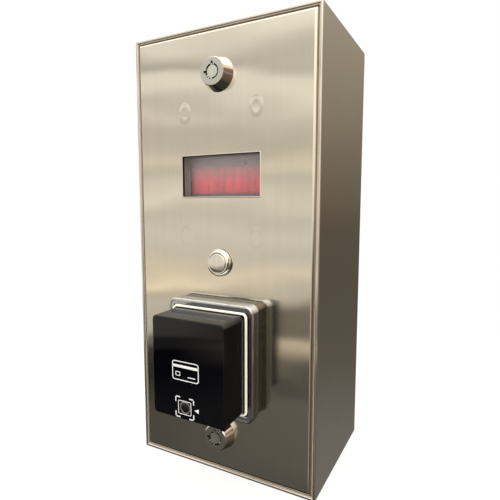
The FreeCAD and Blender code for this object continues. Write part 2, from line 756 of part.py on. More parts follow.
def around_reader(margin):
    """Return the outline of the card reader block grown by a margin."""
    width = "reader_width + 2 * (%s)" % margin
    height = "reader_height + 2 * (%s)" % margin
    return rectangle(width, height, z="reader_level")


def build_reader_mount():
    """Mounting base, bezel and seal around the card reader, and its screws."""
    screws = at_corners("reader_screw_across", "reader_screw_up", "bezel_level")
    base = new_body("reader_base")
    outline = rectangle(
        "bezel_width - 2 * bezel_base_inset",
        "bezel_height - 2 * bezel_base_inset",
        z="bezel_level",
    )
    add(base, [outline], "bezel_back", "bezel_base_depth")
    round_edges(base, "bezel_corner - bezel_base_inset", along_depth)
    openings = [around_reader("reader_play")]
    openings += [circle("reader_screw_hole", x, z) for x, z in screws]
    cut(base, openings, "bezel_back", "bezel_base_depth")
    bezel = new_body("reader_bezel")
    face = rectangle("bezel_width", "bezel_height", z="bezel_level")
    depth = "bezel_depth - bezel_base_depth"
    add(bezel, [face], "bezel_front", depth)
    round_edges(bezel, "bezel_corner", along_depth)
    round_edges(bezel, "bezel_edge", around_front)
    cut(bezel, [around_reader("bezel_inner")], "bezel_front", depth)
    seal = new_body("reader_seal")
    seal_depth = "%s + reader_seal_proud" % depth
    add(seal, [around_reader("seal_outer")], "bezel_front - reader_seal_proud", seal_depth)
    cut(seal, [around_reader("seal_inner")], "bezel_front - reader_seal_proud", seal_depth)
    for number, (x, z) in enumerate(screws, start=1):
        screw = new_body("reader_screw_%d" % number, x, z)
        turn(screw, [
            ("0", "bezel_back"),
            ("reader_screw_radius", "bezel_back"),
            ("reader_screw_radius", "panel_back"),
            ("reader_screw_head", "panel_back"),
            ("reader_screw_head", "panel_back + reader_screw_head_depth"),
            ("0", "panel_back + reader_screw_head_depth"),
        ])


def build_reader():
    """Card reader block: case, glass, antenna, code scanner, board and connector."""
    case = new_body("reader_case")
    add(case, [around_reader("0")], "glass_back", "reader_depth - reader_wall")
    round_edges(case, "reader_corner", along_depth)
    cut(case, [around_reader("-reader_wall")], "glass_back", "reader_depth - 2 * reader_wall")
    slot = rectangle(
        "socket_width + 2 * socket_play", "socket_height + 2 * socket_play", z="reader_level"
    )
    cut(case, [slot], "front - reader_wall", "reader_wall")
    glass = new_body("reader_glass")
    add(glass, [around_reader("0")], "reader_front", "reader_wall")
    round_edges(glass, "reader_corner", along_depth)
    round_edges(glass, "reader_edge", around_front)
    antenna = rectangle("antenna_width", "antenna_height", z="antenna_level")
    plate("antenna_board", [antenna], "glass_back", "antenna_sheet")
    scanner = rectangle("scanner_width", "scanner_height", "scanner_across", "scanner_level")
    plate("code_scanner", [scanner], "glass_back", "scanner_depth")
    inside = around_reader("-reader_wall - reader_board_gap")
    plate("reader_board", [inside], "socket_start - board_sheet", "board_sheet")
    socket = rectangle("socket_width", "socket_height", z="reader_level")
    plate("reader_socket", [socket], "socket_start", "socket_front + socket_back")


def check_model():
    """Stop if any object failed, any cut removed nothing or any shape is broken."""
    doc.recompute()
    for item in doc.Objects:
        if "Invalid" in item.State or "Error" in item.State:
            raise RuntimeError("%s did not compute: %s" % (item.Label, item.State))
    for base, pocket in cuts:
        if pocket.Shape.Volume >= base.Shape.Volume:
            raise RuntimeError("%s cuts nothing" % pocket.Label)
    bodies = [item for item in doc.Objects if item.TypeId == "PartDesign::Body"]
    for body in bodies:
        if body.Shape.isNull() or not body.Shape.isValid() or len(body.Shape.Solids) != 1:
            raise RuntimeError("%s is not one valid solid" % body.Label)
    return bodies


build_sheet()
build_enclosure()
build_strikes()
build_stops()
build_controller()
build_panel()
build_display()
build_button()
build_lock("upper", "upper_lock")
build_lock("lower", "lower_lock")
build_reader_mount()
build_reader()

os.makedirs("parts", exist_ok=True)
for sub_part in check_model():
    sub_part.Shape.exportStep(os.path.join("parts", sub_part.Label + ".step"))
    print(sub_part.Label)
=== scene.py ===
"""Cashless payment box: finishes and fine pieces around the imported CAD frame.

The origin is the centre of the enclosure's underside, +Z is up and the front faces -Y.
Shapes are drawn in millimetres and scaled to metres when a piece is made.
"""
import logging
import math
from dataclasses import dataclass
from enum import Enum

import bmesh
import bpy
from mathutils import Matrix, Quaternion, Vector


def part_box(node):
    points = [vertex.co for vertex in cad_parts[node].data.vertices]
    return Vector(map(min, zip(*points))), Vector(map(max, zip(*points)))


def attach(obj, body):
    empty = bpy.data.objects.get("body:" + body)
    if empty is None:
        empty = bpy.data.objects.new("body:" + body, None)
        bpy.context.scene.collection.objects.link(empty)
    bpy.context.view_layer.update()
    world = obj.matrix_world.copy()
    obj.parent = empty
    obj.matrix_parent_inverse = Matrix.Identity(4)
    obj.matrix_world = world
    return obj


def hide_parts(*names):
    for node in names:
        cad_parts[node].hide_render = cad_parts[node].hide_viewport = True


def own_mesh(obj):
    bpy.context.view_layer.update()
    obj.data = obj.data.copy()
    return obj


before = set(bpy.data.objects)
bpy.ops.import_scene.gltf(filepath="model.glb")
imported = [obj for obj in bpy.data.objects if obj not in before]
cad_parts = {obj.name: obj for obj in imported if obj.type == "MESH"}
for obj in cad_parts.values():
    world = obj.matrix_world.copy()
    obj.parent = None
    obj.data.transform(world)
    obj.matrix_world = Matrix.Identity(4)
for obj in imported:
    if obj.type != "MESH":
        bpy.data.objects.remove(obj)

log = logging.getLogger("payment_box")

MM = 0.001
MICRON = 1e-6
FULL_TURN = 2 * math.pi
QUARTER_TURN = math.pi / 2
SMOOTH_ANGLE = math.radians(34)
PIN_PITCH = 2.54
LEG_PITCH = 1.27
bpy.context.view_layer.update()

Colour = tuple[float, float, float]
Point = tuple[float, float, float]
Pair = tuple[float, float]
Socket = bpy.types.NodeSocket
Input = Socket | float | tuple


class Body(Enum):
    """The bodies that pieces ride on."""

    ENCLOSURE = "enclosure"
    PANEL = "front_panel_unit"
    UPPER_LOCK = "upper_lock"
    LOWER_LOCK = "lower_lock"
    CAP = "push_cap"


class Graph:
    """A node tree, with short calls for the nodes that the finishes share."""

    octave_share: float = 0.55

    def __init__(self, tree: bpy.types.NodeTree) -> None:
        """Empties the node tree of a material or of the surroundings."""
        self.tree = tree
        tree.nodes.clear()

    def node(
        self, kind: str, inputs: dict | None = None, **settings: str | int,
    ) -> bpy.types.Node:
        """Adds a node.

        Args:
            kind: its type without the ShaderNode prefix.
            inputs: values or sockets for its inputs, by name or index.
            **settings: its own properties.

        Returns:
            The new node.
        """
        made = self.tree.nodes.new("ShaderNode" + kind)
        for key, value in settings.items():
            setattr(made, key, value)
        for key, value in (inputs or {}).items():
            self.put(made.inputs[key], value)
        return made

    def put(self, socket: Socket, value: Input) -> None:
        """Links a socket to another one, or sets its own value.

        Args:
            socket: the input socket.
            value: an output socket, a number, a vector or a colour.
        """
        if isinstance(value, Socket):
            self.tree.links.new(value, socket)
        elif socket.type == "RGBA" and len(value) == 3:
            socket.default_value = (*value, 1.0)
        else:
            socket.default_value = value

    def place(self) -> Socket:
        """Returns the object coordinates."""
        return self.node("TexCoord").outputs["Object"]

    def normal(self) -> Socket:
        """Returns the surface's normal."""
        return self.node("NewGeometry").outputs["Normal"]

    def along(self, vector: Socket, axis: str) -> Socket:
        """Returns a vector's X, Y or Z."""
        return self.node("SeparateXYZ", {0: vector}).outputs[axis]

    def vectors(self, operation: str, *values: Input) -> bpy.types.Node:
        """Returns the node of a vector operation on one or two vectors."""
        return self.node("VectorMath", dict(enumerate(values)), operation=operation)

    def math(self, operation: str, *values: Input) -> Socket:
        """Returns the result of a Math node on up to three values."""
        return self.node("Math", dict(enumerate(values)), operation=operation).outputs[0]

    def mix(self, factor: Input, first: Input, second: Input) -> Socket:
        """Returns the blend of two colours by a factor."""
        inputs = {0: factor, 6: first, 7: second}
        return self.node("Mix", inputs, data_type="RGBA").outputs[2]

    def remap(
        self, value: Socket, low: float, high: float, start: float = 0.0, end: float = 1.0,
    ) -> Socket:
        """Returns a value taken from low..high to start..end, and kept in it.

        Args:
            value: the socket that is read.
            low: where it starts.
            high: where it ends.
            start: the result at low.
            end: the result at high.

        Returns:
            The socket of the result.
        """
        inputs = {"Value": value, "From Min": low, "From Max": high}
        inputs |= {"To Min": start, "To Max": end}
        return self.node("MapRange", inputs).outputs[0]

    def ramp(self, factor: Socket, stops: tuple) -> Socket:
        """Returns a colour from a ramp.

        Args:
            factor: the socket that is read, from 0 to 1.
            stops: pairs of a place and a colour, in order.

        Returns:
            The colour's socket.
        """
        made = self.node("ValToRGB", {0: factor})
        elements = made.color_ramp.elements
        while len(elements) < len(stops):
            elements.new(1.0)
        for element, (place, colour) in zip(elements, stops):
            element.position = place
            element.color = (*colour, 1.0)
        return made.outputs[0]

    def noise(self, vector: Socket, detail: float, scale: float = 1.0) -> Socket:
        """Returns a noise value over coordinates, with a number of octaves."""
        inputs = {"Vector": vector, "Scale": scale, "Detail": detail}
        return self.node("TexNoise", inputs | {"Roughness": self.octave_share}).outputs[0]

    def scaled(self, size: Point) -> Socket:
        """Returns the object coordinates in units of a size in millimetres."""
        inputs = {"Vector": self.place(), "Scale": tuple(1 / (s * MM) for s in size)}
        return self.node("Mapping", inputs).outputs[0]

    def patches(self, size: Point, detail: float) -> Socket:
        """Returns a noise value in patches of a size in millimetres."""
        return self.noise(self.scaled(size), detail)

    def bump(self, height: Socket, depth_um: float, normal: Socket | None = None) -> Socket:
        """Returns a normal with a relief.

        Args:
            height: the height's socket, from 0 to 1.
            depth_um: what 1 stands for, in micrometres.
            normal: the normal under it.

        Returns:
            The normal's socket.
        """
        inputs = {"Strength": 1.0, "Distance": depth_um * MICRON, "Height": height}
        if normal is not None:
            inputs["Normal"] = normal
        return self.node("Bump", inputs).outputs[0]


@dataclass(frozen=True)
class Finish:
    """A finish with colour variation, uneven gloss, fine relief and edges lighter from wear and a
    painted highlight.

    Sizes are in millimetres and reliefs in micrometres. The cosines are those of the angle
    between a rounded and a plain normal, on a flat surface and on a sharp edge.
    """

    name: str
    colour: Colour
    metallic: float = 0.0
    roughness: float = 0.5
    gloss_spread: float = 0.06
    mottle: float = 0.08
    mottle_size: float = 5.0
    grain_um: float = 4.0
    grain_size: float = 0.5
    edge_wear_and_highlight: float = 0.25
    wear_radius: float = 0.25
    wear_size: float = 1.3
    flat_cosine: float = 0.995
    edge_cosine: float = 0.80
    smudge_size: Point = (9.0, 9.0, 14.0)
    coat: float = 0.0
    coat_roughness: float = 0.05
    alpha: float = 1.0
    glow: float = 0.0
    specular: float = 0.5

    def make(self) -> bpy.types.Material:
        """Makes the material on its first use.

        Returns:
            The material.
        """
        found = bpy.data.materials.get("finish_" + self.name)
        if found:
            return found
        material = bpy.data.materials.new("finish_" + self.name)
        material.use_nodes = True
        graph = Graph(material.node_tree)
        shader = graph.node("BsdfPrincipled", {
            "Base Color": self.tone(graph),
            "Roughness": self.gloss(graph),
            "Normal": self.relief(graph),
            "Metallic": self.metallic,
            "Coat Weight": self.coat,
            "Coat Roughness": self.coat_roughness,
            "Alpha": self.alpha,
            "Specular IOR Level": self.specular,
            "Emission Color": self.colour,
            "Emission Strength": self.glow,
        })
        self.extras(graph, shader)
        graph.node("OutputMaterial", {0: shader.outputs[0]})
        return material

    def shade(self, share: float) -> Colour:
        """Returns the base colour made lighter or darker by a share."""
        return tuple(min(1.0, max(0.0, c * (1 + share))) for c in self.colour)

    def edge(self, graph: Graph) -> Socket:
        """Returns a mask that is 1 on edges and 0 on flat surfaces.

        Args:
            graph: the material's nodes.

        Returns:
            The mask's socket.
        """
        rounded = graph.node("Bevel", {"Radius": self.wear_radius * MM}, samples=4)
        alike = graph.vectors("DOT_PRODUCT", rounded.outputs[0], graph.normal())
        return graph.remap(alike.outputs["Value"], self.flat_cosine, self.edge_cosine)

    def tone(self, graph: Graph) -> Socket:
        """Returns the colour: two scales of mottling, and edges lighter in patches, partly as wear
        and partly as a painted highlight.

        Args:
            graph: the material's nodes.

        Returns:
            The colour's socket.
        """
        broad = graph.remap(graph.patches((self.mottle_size,) * 3, 4), 0.3, 0.7)
        mottled = graph.mix(broad, self.shade(-self.mottle), self.shade(self.mottle))
        speck = graph.remap(graph.patches((self.grain_size,) * 3, 2), 0.5, 0.8)
        amount = graph.math("MULTIPLY", speck, self.mottle)
        specked = graph.mix(amount, mottled, self.shade(-0.6))
        # Edges are lightened in patches: partly wear, partly a painted highlight where light would
        # catch them.
        worn = graph.remap(graph.patches((self.wear_size,) * 3, 3), 0.35, 0.6)
        rubbed_and_highlit = graph.math("MULTIPLY", self.edge(graph), worn)
        share = graph.math("MULTIPLY", rubbed_and_highlit, self.edge_wear_and_highlight)
        lighter = tuple(c + (1 - c) * 0.55 for c in self.colour)
        return graph.mix(share, specked, lighter)

    def gloss(self, graph: Graph) -> Socket:
        """Returns the roughness, uneven as on a handled surface.

        Args:
            graph: the material's nodes.

        Returns:
            The roughness socket.
        """
        smudge = graph.patches(self.smudge_size, 4)
        low = max(0.02, self.roughness - self.gloss_spread)
        return graph.remap(smudge, 0.3, 0.7, low, self.roughness + self.gloss_spread)

    def relief(self, graph: Graph) -> Socket:
        """Returns the normal with a fine even grain."""
        return graph.bump(graph.patches((self.grain_size,) * 3, 3), self.grain_um)

    def extras(self, graph: Graph, shader: bpy.types.Node) -> None:
        """Sets what a plain finish doesn't need; here nothing."""


@dataclass(frozen=True)
class Metal(Finish):
    """Bare or plated metal."""

    metallic: float = 1.0


@dataclass(frozen=True)
class BrushedSteel(Metal):
    """Stainless sheet with a fine upright grain and a slight waviness."""

    anisotropy: float = 1.0
    wave_um: float = 500.0
    wave_size: Point = (95.0, 95.0, 60.0)
    contrast: float = 0.05
    top_cosine: float = 0.7
    grain_axis: Point = (0.01, 0.004, 1.0)

    def streaks(self, graph: Graph, across: float, length: float, detail: float) -> Socket:
        """Returns a noise value drawn out along the grain, upright or, on top, sideways.

        Args:
            graph: the material's nodes.
            across: size of a feature across the grain, in millimetres.
            length: size of a feature along the grain, in millimetres.
            detail: number of octaves.

        Returns:
            The value's socket.
        """
        upright = graph.scaled((across, across, length))
        sideways = graph.scaled((length, across, across))
        inputs = {0: self.facing_up(graph), 4: upright, 5: sideways}
        chosen = graph.node("Mix", inputs, data_type="VECTOR").outputs[1]
        return graph.noise(chosen, detail)

    def facing_up(self, graph: Graph) -> Socket:
        """Returns 1 on the top and bottom surfaces and 0 on the walls."""
        height = graph.math("ABSOLUTE", graph.along(graph.normal(), "Z"))
        return graph.math("GREATER_THAN", height, self.top_cosine)

    def tone(self, graph: Graph) -> Socket:
        """Returns the steel's colour: fine and broad streaks, and evenly lighter edges, partly
        wear and partly a painted highlight.

        Args:
            graph: the material's nodes.

        Returns:
            The colour's socket.
        """
        fine = graph.math("MULTIPLY", self.streaks(graph, 0.35, 40.0, 3), 0.6)
        broad = graph.math("MULTIPLY", self.streaks(graph, 5.0, 160.0, 3), 0.4)
        spread = graph.remap(graph.math("ADD", fine, broad), 0.38, 0.62)
        streaked = graph.mix(spread, self.shade(-self.contrast), self.shade(self.contrast))
        # Every edge is lightened evenly: a painted highlight along the edges, partly standing for
        # wear.
        share = graph.math("MULTIPLY", self.edge(graph), self.edge_wear_and_highlight)
        return graph.mix(share, streaked, self.shade(0.25))

    def gloss(self, graph: Graph) -> Socket:
        """Returns the roughness, streaked along the grain."""
        low, high = self.roughness - self.gloss_spread, self.roughness + self.gloss_spread
        return graph.remap(self.streaks(graph, 0.8, 60.0, 3), 0.3, 0.7, low, high)

    def relief(self, graph: Graph) -> Socket:
        """Returns the normal: the sheet's waviness under its grain."""
        wavy = graph.bump(graph.patches(self.wave_size, 1), self.wave_um)
        return graph.bump(self.streaks(graph, self.grain_size, 45.0, 2), self.grain_um, wavy)

    def extras(self, graph: Graph, shader: bpy.types.Node) -> None:
        """Spreads the highlights across the grain.

        Args:
            graph: the material's nodes.
            shader: the surface shader.
        """
        tangent = graph.vectors("CROSS_PRODUCT", graph.normal(), self.grain_axis)
        graph.put(shader.inputs["Tangent"], tangent.outputs[0])
        graph.put(shader.inputs["Anisotropic"], self.anisotropy)


@dataclass(frozen=True)
class BoardFinish(Finish):
    """Circuit board: green mask over faint copper tracks."""

    track: Colour = (0.03, 0.17, 0.06)
    track_cell: Point = (2.6, 900.0, 2.6)
    track_lines: float = 5.0

    def tone(self, graph: Graph) -> Socket:
        """Returns the mask's colour, lighter over tracks.

        Args:
            graph: the material's nodes.

        Returns:
            The colour's socket.
        """
        inputs = {"Vector": graph.scaled(self.track_cell), "Scale": 1.0}
        cells = graph.node("TexVoronoi", inputs, distance="CHEBYCHEV", feature="F1")
        lines = graph.math("MULTIPLY", cells.outputs["Distance"], self.track_lines)
        tracks = graph.remap(graph.math("FRACT", lines), 0.42, 0.5)
        patchy = graph.remap(graph.patches((14.0, 14.0, 14.0), 2), 0.42, 0.52)
        share = graph.math("MULTIPLY", tracks, patchy)
        return graph.mix(share, super().tone(graph), self.track)


@dataclass(frozen=True)
class LockChrome(Metal):
    """Bright chrome whose front face is ground to a matt ring."""

    face_colour: Colour = (0.57, 0.565, 0.54)
    face_roughness: float = 0.27
    face_cosine: float = -0.97

    def ahead(self, graph: Graph) -> Socket:
        """Returns 1 where the surface faces straight ahead and 0 elsewhere."""
        depth = graph.along(graph.normal(), "Y")
        return graph.math("LESS_THAN", depth, self.face_cosine)

    def tone(self, graph: Graph) -> Socket:
        """Returns the chrome's colour, with the matt face's own."""
        return graph.mix(self.ahead(graph), super().tone(graph), self.face_colour)

    def gloss(self, graph: Graph) -> Socket:
        """Returns the roughness, higher on the face."""
        inputs = {0: self.ahead(graph), 2: super().gloss(graph), 3: self.face_roughness}
        return graph.node("Mix", inputs).outputs[0]


@dataclass(frozen=True)
class SmokedLensPaintedLight(Finish):
    """Smoked lens with painted light: pinkish and darker over the digits as a painted red glow,
    paler in its upper part as painted light; levels in metres.
    """

    # The foot colour is a painted red glow from the lit digits behind the lens.
    foot: Colour = (0.34, 0.27, 0.27)
    foot_level: float = 0.2035
    head_level: float = 0.2230

    def tone(self, graph: Graph) -> Socket:
        """Returns the lens's colour from its foot to its head: a painted gradient of light,
        pinkish over the digits and paler above.

        Args:
            graph: the material's nodes.

        Returns:
            The colour's socket.
        """
        # Painted light: the tint runs from the pinkish foot to the paler head.
        level = graph.along(graph.place(), "Z")
        share = graph.remap(level, self.foot_level, self.head_level)
        return graph.mix(share, self.foot, super().tone(graph))


@dataclass(frozen=True)
class LitDigits(Finish):
    """Red filter over lit segments, in soft upright streaks; levels in metres."""

    streak: Colour = (0.90, 0.04, 0.08)
    faded: Colour = (0.22, 0.045, 0.05)
    lit_level: float = 0.2050
    faded_level: float = 0.2165

    def tone(self, graph: Graph) -> Socket:
        """Returns the filter's colour, in streaks and stronger towards its foot.

        Args:
            graph: the material's nodes.

        Returns:
            The colour's socket.
        """
        upright = graph.remap(graph.patches((2.8, 30.0, 60.0), 1), 0.40, 0.62, 0.0, 0.7)
        patchy = graph.remap(graph.patches((10.0, 30.0, 8.0), 2), 0.35, 0.65, 0.0, 0.4)
        lit = graph.mix(graph.math("ADD", upright, patchy), self.colour, self.streak)
        level = graph.along(graph.place(), "Z")
        return graph.mix(graph.remap(level, self.lit_level, self.faded_level), lit, self.faded)

    def extras(self, graph: Graph, shader: bpy.types.Node) -> None:
        """Lets the streaks glow in their own colour."""
        streaks = shader.inputs["Base Color"].links[0].from_socket
        graph.put(shader.inputs["Emission Color"], streaks)


CASE_STEEL = BrushedSteel(
    "case_steel", (0.70, 0.66, 0.59), roughness=0.16, gloss_spread=0.015, grain_um=1.2,
    grain_size=0.3, wave_um=350.0, contrast=0.025, edge_wear_and_highlight=0.5,
)
PANEL_STEEL = BrushedSteel(
    "panel_steel", (0.71, 0.67, 0.585), roughness=0.10, gloss_spread=0.01, grain_um=0.8,
    grain_size=0.3, wave_um=1100.0, contrast=0.018, edge_wear_and_highlight=0.5,
)
BRACKET_STEEL = BrushedSteel(
    "bracket_steel", (0.60, 0.59, 0.57), roughness=0.3, grain_um=3.0, grain_size=0.4,
    anisotropy=0.6,
)
PLATED_STEEL = Metal(
    "plated_steel", (0.66, 0.65, 0.60), roughness=0.28, grain_um=3.0, mottle=0.1,
    mottle_size=2.5,
)
SPRING_STEEL = Metal(
    "spring_steel", (0.52, 0.51, 0.49), roughness=0.25, grain_um=2.0, grain_size=0.2,
)
BUTTON_STEEL = Metal(
    "button_steel", (0.84, 0.81, 0.74), roughness=0.10, gloss_spread=0.03, grain_um=0.8,
    grain_size=0.4, mottle=0.05,
)
CAP_STEEL = BrushedSteel(
    "cap_steel", (0.82, 0.79, 0.72), roughness=0.22, gloss_spread=0.04, grain_um=2.0,
    grain_size=0.35, wave_um=0.0, contrast=0.08, anisotropy=0.7,
)
LOCK_CHROME = LockChrome(
    "lock_chrome", (0.84, 0.82, 0.80), roughness=0.08, gloss_spread=0.02, grain_um=0.5,
    mottle=0.04, edge_wear_and_highlight=0.6,
)
CORE_STEEL = Metal(
    "core_steel", (0.68, 0.68, 0.63), roughness=0.30, grain_um=4.0, grain_size=0.25,
    mottle=0.08, mottle_size=2.0,
)
PIN_STEEL = Metal(
    "pin_steel", (0.80, 0.79, 0.72), roughness=0.25, grain_um=1.0, mottle=0.05,
)
SPACER_BRASS = Metal(
    "spacer_brass", (0.70, 0.52, 0.25), roughness=0.3, mottle=0.12, mottle_size=2.0,
)
BEZEL_METAL = Metal(
    "bezel_metal", (0.60, 0.615, 0.635), roughness=0.12, gloss_spread=0.05, grain_um=3.0,
    grain_size=0.6, mottle=0.12, mottle_size=1.6, edge_wear_and_highlight=0.5,
)
BASE_BLACK = Finish(
    "base_black", (0.14, 0.125, 0.11), metallic=0.9, roughness=0.22, grain_um=1.5,
    mottle=0.15, edge_wear_and_highlight=0.4,
)
SEAL_CREAM = Finish(
    "seal_cream", (0.93, 0.89, 0.79), roughness=0.40, grain_um=3.0, mottle=0.04, edge_wear_and_highlight=0.1,
)
READER_BLACK = Finish(
    "reader_black", (0.0025, 0.0025, 0.003), roughness=0.11, gloss_spread=0.03, grain_um=0.6,
    grain_size=0.35, mottle=0.25, edge_wear_and_highlight=0.04, specular=0.26,
)
READER_GLASS = Finish(
    "reader_glass_black", (0.0005, 0.0005, 0.0014), roughness=0.02, gloss_spread=0.005,
    grain_um=0.1, mottle=0.3, edge_wear_and_highlight=0.03,
)
# Pale warm grey: painted light for the shaded gap between the rim and the panel.
PAINTED_GAP_LIGHT = Finish(
    "painted_gap_light", (0.44, 0.37, 0.31), roughness=0.5, grain_um=3.0, mottle=0.05, edge_wear_and_highlight=0.05,
)
FRAME_BLACK = Finish(
    "frame_black", (0.24, 0.22, 0.21), roughness=0.45, grain_um=4.0, mottle=0.2, edge_wear_and_highlight=0.1,
)
# Near-black painted shade for the window's cut edge.
PAINTED_SHADE_BLACK = Finish(
    "painted_shade_collar", (0.006, 0.005, 0.005), roughness=0.5, grain_um=3.0, mottle=0.2, edge_wear_and_highlight=0.02,
)
MASK_GREY = Finish(
    "mask_grey", (0.30, 0.26, 0.25), roughness=0.5, grain_um=3.0, mottle=0.10,
    mottle_size=6.0, edge_wear_and_highlight=0.05,
)
LIP_GREY = Finish(
    "lip_grey", (0.24, 0.21, 0.21), roughness=0.35, grain_um=3.0, mottle=0.08, edge_wear_and_highlight=0.1,
)
SMOKED_LENS = SmokedLensPaintedLight(
    "smoked_lens", (0.70, 0.62, 0.60), roughness=0.16, grain_um=0.5, mottle=0.06,
    mottle_size=9.0, edge_wear_and_highlight=0.0, alpha=0.30,
)
DIGIT_RED = LitDigits(
    "digit_red", (0.48, 0.02, 0.04), roughness=0.6, grain_um=2.0, edge_wear_and_highlight=0.0, glow=0.29,
)
SEGMENT_PALE = LitDigits(
    "segment_pale", (0.60, 0.010, 0.025), roughness=0.5, grain_um=1.0, edge_wear_and_highlight=0.0, glow=0.29,
)
SENSOR_DARK = Finish(
    "sensor_dark", (0.006, 0.004, 0.006), roughness=0.15, grain_um=0.5, mottle=0.2,
)
CIRCUIT_BOARD = BoardFinish(
    "circuit_board", (0.012, 0.085, 0.035), roughness=0.32, grain_um=4.0, coat=0.2,
)
SUPPLY_CASE = Metal(
    "supply_case", (0.55, 0.55, 0.54), roughness=0.38, grain_um=5.0, mottle=0.08,
)
TERMINAL_GREEN = Finish("terminal_green", (0.03, 0.25, 0.10), roughness=0.42, grain_um=5.0)
NYLON_WHITE = Finish(
    "nylon_white", (0.78, 0.77, 0.72), roughness=0.45, grain_um=4.0, edge_wear_and_highlight=0.1,
)
SWITCH_BLACK = Finish(
    "switch_black", (0.02, 0.02, 0.021), roughness=0.42, grain_um=5.0, edge_wear_and_highlight=0.12,
)
BLACK_RUBBER = Finish(
    "black_rubber", (0.022, 0.022, 0.022), roughness=0.7, grain_um=10.0, grain_size=0.3,
    edge_wear_and_highlight=0.1,
)
FOAM_BLACK = Finish(
    "foam_black", (0.028, 0.028, 0.030), roughness=0.9, grain_um=90.0, grain_size=0.7,
    mottle=0.3, edge_wear_and_highlight=0.15,
)
INK_WHITE = Finish(
    "ink_white", (0.66, 0.67, 0.68), roughness=0.5, grain_um=3.0, grain_size=0.2,
    mottle=0.05, edge_wear_and_highlight=0.0,
)
SOLDER = Metal(
    "solder", (0.62, 0.62, 0.63), roughness=0.22, grain_um=3.0, mottle=0.1, mottle_size=1.0,
)
GOLD = Metal(
    "gold_contact", (0.80, 0.58, 0.24), roughness=0.25, grain_um=1.0, mottle=0.06,
)
CAN_SILVER = Metal(
    "can_silver", (0.70, 0.70, 0.71), roughness=0.3, grain_um=3.0, mottle=0.06,
)
CAN_BLUE = Finish("can_blue", (0.025, 0.05, 0.16), roughness=0.3, grain_um=2.0, mottle=0.08)


